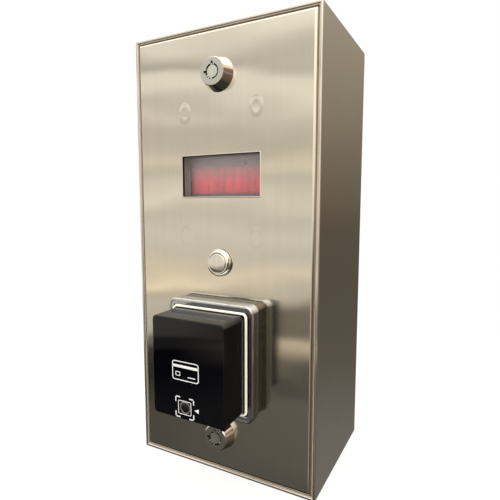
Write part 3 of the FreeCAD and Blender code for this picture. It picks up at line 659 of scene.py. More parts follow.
class Shape:
    """A mesh under construction, in millimetres."""

    coil_steps: int = 28
    corner_segments: int = 6

    def __init__(self) -> None:
        """Starts an empty mesh."""
        self.bm = bmesh.new()

    def soften(
        self, geometry: list, radius: float, segments: int, affect: str = "EDGES",
    ) -> None:
        """Rounds edges, or the corners of a flat face.

        Args:
            geometry: the edges or corners.
            radius: how far the rounding reaches.
            segments: segments across it.
            affect: EDGES or VERTICES.
        """
        bmesh.ops.bevel(
            self.bm, geom=geometry, offset=radius, segments=segments, profile=0.5,
            affect=affect, material=-1,
        )

    def spin(self, profile: tuple, centre: Pair, steps: int, front: float = 0.0) -> "Shape":
        """Turns a profile round an axis along Y.

        Args:
            profile: pairs of a radius and a depth, closed or from pole to pole.
            centre: the axis, as x and z.
            steps: number of steps in the full turn.
            front: the place along Y that depths are counted from.

        Returns:
            The shape itself.
        """
        x, z = centre
        verts = [self.bm.verts.new((x + r, front + y, z)) for r, y in profile]
        edges = [self.bm.edges.new(pair) for pair in zip(verts, verts[1:])]
        bmesh.ops.spin(
            self.bm, geom=verts + edges, cent=(x, 0, z), axis=(0, 1, 0), dvec=(0, 0, 0),
            angle=FULL_TURN, steps=steps, use_merge=True, use_duplicate=False,
        )
        return self

    def coil(
        self, start: Point, radius: float, wire: float, pitch: float, turns: float, sides: int,
    ) -> "Shape":
        """Winds a round wire along Y.

        Args:
            start: where the axis starts.
            radius: from the axis to the wire's centre.
            wire: the wire's radius.
            pitch: advance of one turn.
            turns: number of turns.
            sides: sides of the wire.

        Returns:
            The shape itself.
        """
        x, y, z = start
        place = Matrix.Translation((x + radius, y, z))
        ring = bmesh.ops.create_circle(
            self.bm, cap_ends=True, segments=sides, radius=wire, matrix=place,
        )
        geometry = set(ring["verts"])
        geometry |= {f for v in ring["verts"] for f in v.link_faces}
        steps = round(turns * self.coil_steps)
        bmesh.ops.spin(
            self.bm, geom=list(geometry), cent=start, axis=(0, 1, 0),
            dvec=(0, pitch * turns / steps, 0), angle=FULL_TURN * turns, steps=steps,
            use_merge=False, use_duplicate=False,
        )
        return self

    def block(self, low: Point, high: Point, edge: float = 0.2, segments: int = 2) -> "Shape":
        """Adds a box with rounded edges.

        Args:
            low: its lowest corner.
            high: its highest corner.
            edge: radius of the edges.
            segments: segments across each edge.

        Returns:
            The shape itself.
        """
        size = [b - a for a, b in zip(low, high)]
        middle = [(a + b) / 2 for a, b in zip(low, high)]
        verts = bmesh.ops.create_cube(self.bm, size=1.0)["verts"]
        bmesh.ops.scale(self.bm, vec=size, verts=verts)
        bmesh.ops.translate(self.bm, vec=middle, verts=verts)
        edges = list({e for v in verts for e in v.link_edges})
        self.soften(edges, min(edge, min(size) * 0.45), segments)
        return self

    def slab(
        self, centre: Pair, size: Pair, depths: Pair, edge: float, segments: int = 2,
    ) -> "Shape":
        """Adds a box with rounded edges by its middle.

        Args:
            centre: its middle, as x and z.
            size: its size, as x and z.
            depths: its two ends along Y.
            edge: radius of the edges.
            segments: segments across each edge.

        Returns:
            The shape itself.
        """
        (x, z), half_x, half_z = centre, size[0] / 2, size[1] / 2
        low = (x - half_x, min(depths), z - half_z)
        high = (x + half_x, max(depths), z + half_z)
        return self.block(low, high, edge, segments)

    def rod(self, start: Point, radius: float, length: float, sides: int, edge: float) -> "Shape":
        """Adds a short rod along Y with softened ends.

        Args:
            start: the middle of its first end.
            radius: its radius.
            length: its length.
            sides: number of sides.
            edge: radius at both ends.

        Returns:
            The shape itself.
        """
        place = Matrix.Translation(start) @ Matrix.Rotation(-QUARTER_TURN, 4, "X")
        made = bmesh.ops.create_cone(
            self.bm, cap_ends=True, segments=sides, radius1=radius, radius2=radius,
            depth=length, matrix=place @ Matrix.Translation((0, 0, length / 2)),
        )
        caps = {f for v in made["verts"] for f in v.link_faces if len(f.verts) == sides}
        self.soften(list({e for f in caps for e in f.edges}), edge, 2)
        return self

    def outline(self, size: Pair, corner: float, y: float, centre: Pair) -> bmesh.types.BMFace:
        """Draws one rounded rectangle facing -Y.

        Args:
            size: its size, as x and z.
            corner: radius of its corners.
            y: its place along Y.
            centre: its middle, as x and z.

        Returns:
            The face.
        """
        before = set(self.bm.faces)
        place = Matrix.Translation((centre[0], y, centre[1]))
        place = place @ Matrix.Rotation(QUARTER_TURN, 4, "X") @ Matrix.Diagonal((*size, 1, 1))
        made = bmesh.ops.create_grid(
            self.bm, x_segments=1, y_segments=1, size=0.5, matrix=place,
        )
        self.soften(made["verts"], corner, self.corner_segments, "VERTICES")
        return next(face for face in self.bm.faces if face not in before)

    def loft(self, loops: tuple, centre: Pair, ring: bool = False) -> "Shape":
        """Joins rounded rectangles into a solid or a ring.

        Args:
            loops: width, height, corner radius and place along Y of each outline.
            centre: the middle of them all, as x and z.
            ring: closes the last outline onto the first, which leaves an opening.

        Returns:
            The shape itself.
        """
        faces = [
            self.outline((width, height), corner, y, centre)
            for width, height, corner, y in loops
        ]
        edges = [list(face.edges) for face in faces]
        inner = faces if ring else faces[1:-1]
        bmesh.ops.delete(self.bm, geom=inner, context="FACES_ONLY")
        pairs = list(zip(edges, edges[1:])) + ([(edges[-1], edges[0])] if ring else [])
        for first, second in pairs:
            bmesh.ops.bridge_loops(self.bm, edges=first + second)
        return self

    def piece(
        self, name: str, body: Body, finish: Finish, replaces: str = "", slot: str = "",
    ) -> bpy.types.Object:
        """Turns the mesh into a piece that rides on a body.

        Args:
            name: the piece's name.
            body: what it moves with.
            finish: its finish.
            replaces: the CAD node that it stands for, if any.
            slot: a material slot of the record; not used.

        Returns:
            The piece.
        """
        bmesh.ops.remove_doubles(self.bm, verts=self.bm.verts, dist=0.001)
        bmesh.ops.dissolve_degenerate(self.bm, edges=self.bm.edges, dist=0.0005)
        bmesh.ops.recalc_face_normals(self.bm, faces=self.bm.faces)
        for face in self.bm.faces:
            face.smooth = True
        for edge in self.bm.edges:
            sharp = len(edge.link_faces) != 2 or edge.calc_face_angle(0.0) > SMOOTH_ANGLE
            edge.smooth = not sharp
        bmesh.ops.scale(self.bm, vec=(MM, MM, MM), verts=self.bm.verts)
        mesh = bpy.data.meshes.new(name)
        self.bm.to_mesh(mesh)
        self.bm.free()
        mesh.materials.append(finish.make())
        made = bpy.data.objects.new(name, mesh)
        bpy.context.scene.collection.objects.link(made)
        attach(made, body.value)
        if replaces:
            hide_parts(replaces)
        log.info("made %s on %s: %d faces", name, body.value, len(mesh.polygons))
        return made


class Span:
    """The box of a CAD node, in millimetres."""

    def __init__(self, node: str) -> None:
        """Measures the node.

        Args:
            node: its name.
        """
        low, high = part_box(node)
        self.low, self.high = low / MM, high / MM
        middle = (self.low + self.high) / 2
        self.centre = (middle.x, middle.z)
        self.width, self.depth, self.height = self.high - self.low

    def at(self, y: float) -> Point:
        """Returns the point of the axis through the middle that lies at y."""
        return (self.centre[0], y, self.centre[1])


def drawn_in(
    size: Pair, front: float, steps: tuple, corner: float, keep: bool = False, least: float = 0.0,
) -> tuple:
    """Returns the outlines of a loft: a rounded rectangle drawn in step by step.

    Args:
        size: the rectangle's width and height.
        front: the place along Y that depths are counted from.
        steps: how far in and how deep each outline lies.
        corner: the rectangle's corner radius, which shrinks as it is drawn in.
        keep: keeps the corner radius as it is.
        least: the smallest corner radius.

    Returns:
        Width, height, corner radius and place along Y of each outline.
    """
    width, height = size
    return tuple(
        (width - 2 * d, height - 2 * d, corner if keep else max(least, corner - d), front + y)
        for d, y in steps
    )


def dress(finish: Finish, *nodes: str) -> None:
    """Gives CAD nodes a finish.

    Args:
        finish: the finish.
        *nodes: names of the nodes.
    """
    for name in nodes:
        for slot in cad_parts[name].material_slots:
            slot.material = finish.make()
        log.info("dressed %s in %s", name, finish.name)


def numbered(stem: str) -> tuple:
    """Returns the names of a set of four CAD nodes."""
    return tuple(f"{stem}_{number}" for number in range(1, 5))


@dataclass(frozen=True)
class Thread:
    """A screw thread on the end of a barrel, behind its nut."""

    radius: float
    wire: float
    pitch: float
    gap: float
    run_out: float = 0.8
    sides: int = 4

    def wind(self, name: str, housing: str, nut: str, finish: Finish) -> None:
        """Winds the thread.

        Args:
            name: the piece's name.
            housing: the CAD node with the barrel.
            nut: the CAD node in front of the thread.
            finish: its finish, whose name is passed on as the slot.
        """
        barrel = Span(housing)
        start = Span(nut).high.y + self.gap
        turns = (barrel.high.y - self.run_out - start) / self.pitch
        shape = Shape().coil(
            barrel.at(start), self.radius, self.wire, self.pitch, turns, self.sides,
        )
        shape.piece(name, Body.PANEL, finish, slot=finish.name)


@dataclass
class Enclosure:
    """The folded steel box with its brackets and stop strips."""

    wall: float = 2.0
    foam_edge: float = 0.5
    foam_fill: float = 0.9
    lining_depth: float = 0.6
    lining_length: float = 2.8
    lining_play: float = 0.06
    lining_sunk: float = 0.05
    lining_corner: float = 0.5

    def build(self) -> None:
        """Dresses the sheet parts, lays the foam on the stop strips and lines the rim with a pale
        strip of painted light.
        """
        dress(CASE_STEEL, "enclosure_shell")
        dress(BRACKET_STEEL, "strike_upper", "strike_lower", "stop_left", "stop_right")
        dress(PLATED_STEEL, "earth_stud", "earth_nut")
        for side in ("left", "right"):
            self.foam("stop_seal_" + side)
        self.lining()

    def lining(self) -> None:
        """Lines the inside of the rim with a thin pale strip that closes the gap to the panel:
        painted light where the gap lies in shade.
        """
        shell, panel = Span("enclosure_shell"), Span("front_panel")
        wall, play = 2 * (self.wall - self.lining_sunk), 2 * self.lining_play
        outer = (shell.width - wall, shell.height - wall)
        inner = (panel.width + play, panel.height + play)
        front, end = shell.low.y + self.lining_depth, self.lining_length
        corner = self.lining_corner
        loops = drawn_in(outer, front, ((0.0, end), (0.0, 0.08), (0.15, 0.0)), corner, keep=True)
        loops += drawn_in(inner, front, ((-0.1, 0.0), (0.0, 0.1), (0.0, end)), corner, keep=True)
        # The strip's pale colour is painted light in the shaded gap.
        shape = Shape().loft(loops, shell.centre, ring=True)
        shape.piece("rim_gap_light_strip", Body.ENCLOSURE, PAINTED_GAP_LIGHT)

    def foam(self, node: str) -> None:
        """Lays one foam strip, crowned and rounded, in the place of its CAD solid.

        Args:
            node: the solid that it stands for.
        """
        span = Span(node)
        steps = ((0.0, span.depth), (0.0, 0.7), (0.25, 0.3), (0.8, 0.08), (1.7, 0.0))
        size = (span.width, span.height)
        loops = drawn_in(size, span.low.y, steps, self.foam_edge, keep=True)
        shape = Shape().loft(loops, span.centre)
        strip = shape.piece(node + "_foam", Body.ENCLOSURE, FOAM_BLACK, node, "foam_black")


@dataclass
class FrontPanel:
    """The folded front panel with its window and the marks of its welded studs.

    A mark's swell is given as shares of its radius and of its rise.
    """

    opening: Pair = (60.0, 27.5)
    opening_corner: float = 0.3
    opening_play: float = 0.04
    mark_size: Pair = (10.5, 15.0)
    mark_rises: tuple = (0.045, 0.045, 0.085, 0.085)
    mark_swell: tuple = (
        (0.0, 0.25), (0.18, 0.25), (0.34, 0.42), (0.46, 0.85), (0.58, 1.0), (0.72, 0.82),
        (0.86, 0.34), (0.95, 0.08), (1.0, 0.0),
    )
    mark_root: float = 0.3

    def build(self) -> None:
        """Dresses the panel, raises a mark over each stud and lines the window's cut edge with
        painted shade.
        """
        dress(PANEL_STEEL, "front_panel")
        front = Span("front_panel").low.y
        for number, rise in enumerate(self.mark_rises, 1):
            self.mark(number, rise, front)
        self.window(front)

    def window(self, front: float) -> None:
        """Raises the bright burr round the window and lines its cut edge with a near-black collar,
        which is painted shade.

        Args:
            front: the panel's front.
        """
        centre, corner = Span("display_lens").centre, self.opening_corner
        steps = (
            (-0.95, 0.2), (-0.8, -0.01), (-0.5, -0.10), (-0.3, -0.13), (-0.12, -0.08),
            (0.0, 0.05), (0.0, 0.2),
        )
        burr = Shape().loft(drawn_in(self.opening, front, steps, corner), centre, ring=True)
        burr.piece("window_burr", Body.PANEL, PANEL_STEEL, slot="panel_steel")
        # A near-black collar over the steel cut edge: painted shade where the edge lies in shadow.
        inner = tuple(side - self.opening_play for side in self.opening)
        steps = ((0.0, 1.95), (0.0, 0.45), (0.14, 0.3), (0.28, 0.45), (0.28, 1.95))
        loops = drawn_in(inner, front, steps, corner, keep=True)
        collar = Shape().loft(loops, centre, ring=True)
        collar.piece("window_shade_collar", Body.PANEL, PAINTED_SHADE_BLACK, slot="frame_black")

    def mark(self, number: int, rise: float, front: float) -> None:
        """Raises one weld mark: a shallow oval swelling with a dip in its middle.

        Args:
            number: which stud.
            rise: height of the swelling.
            front: the panel's front.
        """
        centre = Span(f"display_spacer_{number}").centre
        width, height = self.mark_size
        radius = height / 2
        profile = tuple((radius * r, -rise * h) for r, h in self.mark_swell)
        profile += ((radius, self.mark_root), (0.0, self.mark_root))
        shape = Shape().spin(profile, centre, 64, front)
        aside = Matrix.Translation((centre[0], 0, 0))
        oval = aside @ Matrix.Diagonal((width / height, 1, 1, 1)) @ aside.inverted()
        bmesh.ops.transform(shape.bm, matrix=oval, verts=shape.bm.verts)
        shape.piece(f"stud_mark_{number}", Body.PANEL, PANEL_STEEL, slot="panel_steel")


@dataclass
class Display:
    """The digit display behind the window."""

    digits: int = 4
    segment: float = 1.5
    segment_reach: float = 3.6
    segment_arm: float = 7.0
    opening: Pair = (59.9, 27.4)

    def build(self) -> None:
        """Dresses the frame, lens and board, and builds the digits and the sensor."""
        dress(FRAME_BLACK, "display_frame")
        dress(SMOKED_LENS, "display_lens")
        dress(CIRCUIT_BOARD, "display_board")
        dress(SPACER_BRASS, *numbered("display_spacer"))
        dress(PLATED_STEEL, *numbered("display_nut"))
        lens, row = Span("display_lens"), Span("display_digits")
        self.lip(lens)
        self.mask(lens, row)
        self.modules(row)
        self.sensor()
        self.components()

    def lip(self, lens: Span) -> None:
        """Lays the thin grey lip around the lens.

        Args:
            lens: the lens's box.
        """
        width, height = self.opening
        back = lens.low.y
        front = back - 0.55
        loops = (
            (width, height, 0.6, back), (width, height, 0.6, front),
            (width - 0.7, height - 0.7, 0.5, front - 0.05), (width - 1.5, height - 1.0, 0.4, back),
        )
        shape = Shape().loft(loops, lens.centre, ring=True)
        shape.piece("display_lip", Body.PANEL, LIP_GREY)

    def mask(self, lens: Span, row: Span) -> None:
        """Fills the space above and below the digits with a grey mask.

        Args:
            lens: the lens's box.
            row: the digits' box.
        """
        left, right = lens.low.x + 1.0, lens.high.x - 1.0
        front, back = row.low.y + 2.0, row.low.y + 3.0
        shape = Shape()
        for low, high in (
            (row.high.z + 0.05, lens.high.z - 1.0),
            (lens.low.z + 1.0, row.low.z - 0.05),
        ):
            shape.block((left, front, low), (right, back, high))
        shape.piece("display_mask", Body.PANEL, MASK_GREY)

    def modules(self, row: Span) -> None:
        """Builds the digit modules with their raised segments.

        Args:
            row: the digits' box.
        """
        pitch = row.width / self.digits
        width, height, front = pitch - 0.12, row.height, row.low.y
        loops = (
            (width, height, 0.3, row.high.y), (width, height, 0.3, front + 0.5),
            (width - 0.5, height - 0.5, 0.4, front + 0.25),
        )
        bodies, segments = Shape(), Shape()
        for number in range(self.digits):
            centre = (row.low.x + (number + 0.5) * pitch, row.centre[1])
            bodies.loft(loops, centre)
            self.figure(segments, centre, front)
        bodies.piece("digit_modules", Body.PANEL, DIGIT_RED, "display_digits", "digit_red")
        segments.piece("digit_segments", Body.PANEL, SEGMENT_PALE, slot="digit_red")

    def figure(self, shape: Shape, centre: Pair, front: float) -> None:
        """Adds the seven segments and the point of one digit.

        Args:
            shape: the mesh they are added to.
            centre: the digit's middle, as x and z.
            front: the foremost place along Y.
        """
        x, z = centre
        line, reach, arm = self.segment, self.segment_reach, self.segment_arm
        depths = (front + 0.05, front + 0.4)
        for level in (-arm, 0.0, arm):
            shape.slab((x, z + level), (2 * reach, line), depths, 0.3)
        for side in (-1, 1):
            across = x + side * (reach + line / 2 + 0.25)
            for start in (0.6 + line / 2, 0.6 - arm):
                middle = z + start + (arm - 2.0) / 2
                shape.slab((across, middle), (line, arm - 2.0), depths, 0.3)
        shape.rod((x + 6.2, depths[0], z - arm), 0.7, 0.35, 16, 0.1)

    def sensor(self) -> None:
        """Builds the small domed light sensor."""
        span = Span("light_sensor")
        radius, end = span.width / 2, span.depth
        profile = (
            (0.0, 0.0), (0.55 * radius, 0.12), (0.85 * radius, 0.45), (radius, 1.0),
            (radius, end - 1.5), (0.6 * radius, end - 1.4), (0.6 * radius, end), (0.0, end),
        )
        shape = Shape().spin(profile, span.centre, 32, span.low.y)
        shape.piece("light_sensor_dome", Body.PANEL, SENSOR_DARK, "light_sensor", "sensor_dark")

    def components(self) -> None:
        """Populates the back of the display board."""
        span = Span("display_board")
        board = Board("display_board", Body.PANEL, face=span.high.y, side=1)
        level = span.centre[1]
        board.chips((
            (-14.0, level - 4.0, 10.0, 10.0), (9.0, level + 2.0, 8.0, 6.0),
            (9.0, level - 12.0, 8.0, 5.0),
        ))
        board.cans(((22.0, level + 20.0, 3.2, 5.4), (14.0, level + 24.0, 2.5, 5.4)))
        board.header("display_header", (-12.0, level + 30.0), 8)
        board.scatter(26, (-27.0, level - 32.0), (27.0, level - 18.0), seed=3)


@dataclass
class PushButton:
    """The steel push button."""

    bore: float = 6.46
    barrel: float = 8.0
    barrel_bore: float = 7.0
    lip: float = 2.5
    guide_bore: float = 3.06
    guide_depth: float = 3.0
    cap_radius: float = 6.4
    cap_rise: float = 0.55
    cap_steps: tuple = (0.0, 0.15, 0.3, 0.45, 0.6, 0.75, 0.88, 0.96)
    collar: float = 6.7
    stem: float = 3.0
    spring_radius: float = 5.6
    spring_wire: float = 0.45
    spring_turns: float = 5.0
    thread: Thread = Thread(radius=8.0, wire=0.32, pitch=0.9, gap=0.4)

    def build(self) -> None:
        """Builds the ring, cap, spring and thread, and dresses the rest."""
        dress(BLACK_RUBBER, "button_washer")
        dress(PLATED_STEEL, "button_nut")
        dress(SWITCH_BLACK, "button_switch")
        self.ring()
        self.cap()
        self.spring()
        self.blades()

    def ring(self) -> None:
        """Builds the domed flange ring with its barrel and thread."""
        span = Span("button_housing")
        front, end, rim, bore = span.low.y, span.depth, span.width / 2, self.bore
        back, guide = Span("button_washer").low.y - front, Span("button_spring").high.y - front
        profile = (
            (bore, 0.45), (bore + 0.25, 0.12), (bore + 0.7, 0.0), (bore + 1.1, 0.1),
            (bore + 1.7, 0.5), (rim - 0.5, 1.2), (rim - 0.12, 1.8), (rim, 2.3), (rim, back),
            (self.barrel, back), (self.barrel, end - 0.4), (self.barrel - 0.3, end),
            (self.barrel_bore, end), (self.barrel_bore, guide + self.guide_depth),
            (self.guide_bore, guide + self.guide_depth), (self.guide_bore, guide),
            (self.barrel_bore, guide), (self.barrel_bore, self.lip), (bore, self.lip),
            (bore, 0.45),
        )
        shape = Shape().spin(profile, span.centre, 96, front)
        shape.piece("button_ring", Body.PANEL, BUTTON_STEEL, "button_housing", "button_steel")
        self.thread.wind("button_thread", "button_housing", "button_nut", BUTTON_STEEL)

    def cap(self) -> None:
        """Builds the gently domed cap with its collar and stem."""
        span = Span("button_cap")
        radius, end = self.cap_radius, span.depth
        dome = tuple((radius * r, self.cap_rise * r**2.6) for r in self.cap_steps)
        profile = dome + (
            (radius - 0.05, 0.62), (radius, 0.9), (radius, 3.35), (self.collar, 3.35),
            (self.collar, 5.35), (self.stem, 5.35), (self.stem, end - 0.3),
            (self.stem - 0.3, end), (0.0, end),
        )
        shape = Shape().spin(profile, span.centre, 72, span.low.y)
        shape.piece("button_dome", Body.CAP, CAP_STEEL, "button_cap", "cap_steel")

    def spring(self) -> None:
        """Winds the cap's spring on a mesh of its own; the real spring shortens as the cap goes
        in.
        """
        span = Span("button_spring")
        wire, turns = self.spring_wire, self.spring_turns
        pitch = (span.depth - 2 * wire) / turns
        start = span.at(span.low.y + wire)
        shape = Shape().coil(start, self.spring_radius, wire, pitch, turns, 8)
        coil = shape.piece(
            "button_coil_spring", Body.PANEL, SPRING_STEEL, "button_spring", "spring_steel",
        )
        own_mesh(coil)

    def blades(self) -> None:
        """Adds the switch's two solder blades."""
        span = Span("button_switch")
        (x, z), back = span.centre, span.high.y
        shape = Shape()
        for side in (-2.5, 2.5):
            shape.slab((x + side, z), (2.4, 0.5), (back - 0.5, back + 5.0), 0.12)
        shape.piece("switch_blades", Body.PANEL, SOLDER)


@dataclass
class CamLock:
    """One tubular cam lock: chrome head, keyway with its pins, thread and cam screw.

    A pin is given by its angle from the top, in degrees, and its depth behind the face.
    """

    name: str
    body: Body
    ring_radius: float = 4.33
    pin_radius: float = 0.50
    pin_end: float = 6.2
    pins_at: tuple = (
        (-6, 0.12), (10, 0.4), (50, 2.6), (100, 2.8), (150, 2.6), (192, 0.3), (214, 0.2),
        (236, 0.25), (290, 2.4), (330, 2.6),
    )
    screw_head: float = 2.6
    thread: Thread = Thread(radius=9.5, wire=0.34, pitch=1.0, gap=0.5)

    def build(self) -> None:
        """Dresses the lock's parts and adds the pins, the thread and the screw."""
        lock = self.name + "_lock_"
        dress(LOCK_CHROME, lock + "housing")
        dress(CORE_STEEL, lock + "core")
        dress(PLATED_STEEL, lock + "nut", lock + "cam")
        self.pins()
        self.thread.wind(lock + "thread", lock + "housing", lock + "nut", LOCK_CHROME)
        self.screw()

    def pins(self) -> None:
        """Sets the pins round the keyway: some near the face, the rest sunk."""
        span = Span(self.name + "_lock_housing")
        shape = Shape()
        for turn, sunk in self.pins_at:
            angle = math.radians(turn)
            out = (self.ring_radius * math.sin(angle), sunk, self.ring_radius * math.cos(angle))
            place = Vector(span.at(span.low.y)) + Vector(out)
            shape.rod(place, self.pin_radius, self.pin_end - sunk, 16, 0.14)
        shape.piece(self.name + "_lock_pins", self.body, PIN_STEEL, slot="core_steel")

    def screw(self) -> None:
        """Builds the cam's hexagon screw with its pressed washer and dished head."""
        node = self.name + "_cam_screw"
        span = Span(node)
        radius, end = min(span.width, span.height) / 2, span.high.y
        head = min(self.screw_head, span.depth * 0.6)
        shape = Shape()
        shape.rod(span.at(end - head), radius, 0.7, 40, 0.2)
        shape.rod(span.at(end - head + 0.6), radius * 0.88, head - 0.6, 6, 0.25)
        shape.rod(span.at(span.low.y), radius * 0.5, span.depth - head + 0.3, 20, 0.1)
        ring = ((1.1, 0.0), (1.5, 0.12), (1.9, 0.0), (1.9, -0.2), (1.1, -0.2), (1.1, 0.0))
        shape.spin(ring, span.centre, 32, end)
        name = self.name + "_hex_screw"
        shape.piece(name, self.body, PLATED_STEEL, node, "plated_steel")


@dataclass
class CardReader:
    """The contactless card and code reader in its bezel.

    Places on the cover are given as x and z.
    """

    bezel_corner: float = 5.0
    seal_corner: float = 3.2
    seal_wall: float = 1.6
    mark_rise: float = 0.04
    mark_root: float = 0.05
    line_edge: float = 0.01
    card_at: Pair = (-1.5, 87.0)
    chip_at: Pair = (-7.2, 84.9)
    target_at: Pair = (-2.35, 63.45)
    corner_reach: Pair = (6.8, 6.5)
    corner_length: float = 3.0
    corner_width: float = 0.75
    arrow_at: Pair = (7.1, 63.4)
    lens_at: Pair = (-2.0, 63.5)

    def build(self) -> None:
        """Dresses the reader, and builds its bezel, seal and marks."""
        dress(BASE_BLACK, "reader_base")
        dress(READER_BLACK, "reader_case")
        dress(READER_GLASS, "reader_glass")
        dress(CIRCUIT_BOARD, "antenna_board", "reader_board")
        dress(SWITCH_BLACK, "code_scanner", "reader_socket")
        self.contacts()
        dress(PLATED_STEEL, *numbered("reader_screw"))
        self.bezel()
        self.seal()
        front = Span("reader_glass").low.y
        self.marks(front + self.mark_root, front - self.mark_rise)
        self.lens(front)

    def bezel(self) -> None:
        """Builds the bezel: rounded rim, groove, grained band and inner lip."""
        span, seal = Span("reader_bezel"), Span("reader_seal")
        front, end = span.low.y, span.depth
        width, height = seal.width + 0.2, seal.height + 0.2
        steps = (
            (0.6, end), (0.0, end - 0.6), (0.0, 1.5), (0.12, 0.85), (0.5, 0.3), (1.2, 0.0),
            (1.9, 0.05), (2.0, 0.45), (2.3, 0.45), (2.4, 0.1),
        )
        loops = drawn_in((span.width, span.height), front, steps, self.bezel_corner)
        loops += (
            (width + 0.7, height + 0.7, 1.5, front + 0.15), (width, height, 1.2, front + 0.5),
            (width, height, 1.2, span.high.y),
        )
        shape = Shape().loft(loops, span.centre, ring=True)
        shape.piece("reader_bezel_ring", Body.PANEL, BEZEL_METAL, "reader_bezel", "bezel_metal")

    def contacts(self) -> None:
        """Adds the pins of the reader's rear socket."""
        span = Span("reader_socket")
        (x, z), back = span.centre, span.high.y
        shape = Shape()
        for column in range(6):
            across = x + (column - 2.5) * PIN_PITCH
            for row in (-1.3, 1.3):
                shape.slab((across, z + row), (0.64, 0.64), (back - 0.5, back + 3.0), 0.1)
        shape.piece("reader_pins", Body.PANEL, GOLD)

    def seal(self) -> None:
        """Builds the pale seal with its rounded lip."""
        span, wall = Span("reader_seal"), self.seal_wall
        steps = (
            (0.0, span.depth), (0.0, 0.9), (0.15, 0.35), (0.5, 0.02), (wall - 0.5, 0.0),
            (wall - 0.15, 0.3), (wall, 0.8), (wall, span.depth),
        )
        size = (span.width, span.height)
        loops = drawn_in(size, span.low.y, steps, self.seal_corner, least=1.2)
        shape = Shape().loft(loops, span.centre, ring=True)
        shape.piece("reader_seal_lip", Body.PANEL, SEAL_CREAM, "reader_seal", "seal_cream")

    def marks(self, back: float, face: float) -> None:
        """Prints the card sign, the code target and a small triangle on the cover.

        Args:
            back: the back of the print.
            face: its front.
        """
        depths = (back, face)
        card = Shape()
        self.frame_line(card, self.card_at, (20.0, 12.4), 1.8, 0.6, depths)
        card.block((-11.2, face, 89.0), (8.2, back, 90.7), self.line_edge)
        self.frame_line(card, self.chip_at, (3.6, 2.8), 0.5, 0.45, depths)
        card.block((0.2, face, 83.3), (6.0, back, 83.9), self.line_edge)
        card.piece("mark_card", Body.PANEL, INK_WHITE)
        target = Shape()
        self.frame_line(target, self.target_at, (10.0, 9.0), 1.0, 0.45, depths)
        self.corners(target, depths)
        target.piece("mark_code_target", Body.PANEL, INK_WHITE)
        arrow = Shape()
        place = Matrix.Translation((self.arrow_at[0], (face + back) / 2, self.arrow_at[1]))
        flat = Matrix.Diagonal((1.1, 1.0, 0.8, 1.0)) @ Matrix.Rotation(QUARTER_TURN, 4, "X")
        turn = Matrix.Rotation(QUARTER_TURN, 4, "Z")
        bmesh.ops.create_cone(
            arrow.bm, cap_ends=True, segments=3, radius1=2.0, radius2=2.0, depth=back - face,
            matrix=place @ flat @ turn,
        )
        arrow.piece("mark_arrow", Body.PANEL, INK_WHITE)

    def corners(self, shape: Shape, depths: Pair) -> None:
        """Adds four printed brackets round the code target.

        Args:
            shape: the mesh they are added to.
            depths: back and front of the print.
        """
        length, width = self.corner_length, self.corner_width
        for across in (-1, 1):
            for up in (-1, 1):
                x = self.target_at[0] + across * self.corner_reach[0]
                z = self.target_at[1] + up * self.corner_reach[1]
                lying, standing = (x - across * length / 2, z), (x, z - up * length / 2)
                shape.slab(lying, (length + width, width), depths, self.line_edge)
                shape.slab(standing, (width, length + width), depths, self.line_edge)

    def frame_line(
        self, shape: Shape, centre: Pair, size: Pair, corner: float, line: float, depths: Pair,
    ) -> None:
        """Adds a printed outline with rounded corners.

        Args:
            shape: the mesh it is added to.
            centre: its middle, as x and z.
            size: its outer size, as x and z.
            corner: its outer corner radius.
            line: width of the line.
            depths: back and front of the print.
        """
        back, face = depths
        steps = ((0.0, back), (0.0, face), (line, face), (line, back))
        shape.loft(drawn_in(size, 0.0, steps, corner, least=0.2), centre, ring=True)

    def lens(self, front: float) -> None:
        """Sets the scanner's round lens and its ring in the middle of the target.

        Args:
            front: the cover's front.
        """
        ring = (
            (3.2, 0.1), (3.2, -0.05), (3.35, -0.12), (3.75, -0.12), (3.9, -0.05), (3.9, 0.1),
            (3.2, 0.1),
        )
        dome = ((0.0, -0.35), (1.0, -0.32), (2.0, -0.22), (2.8, -0.08), (3.2, 0.1), (0.0, 0.1))
        for name, profile, finish in (
            ("scanner_ring", ring, PLATED_STEEL), ("scanner_lens", dome, SENSOR_DARK),
        ):
            Shape().spin(profile, self.lens_at, 48, front).piece(name, Body.PANEL, finish)


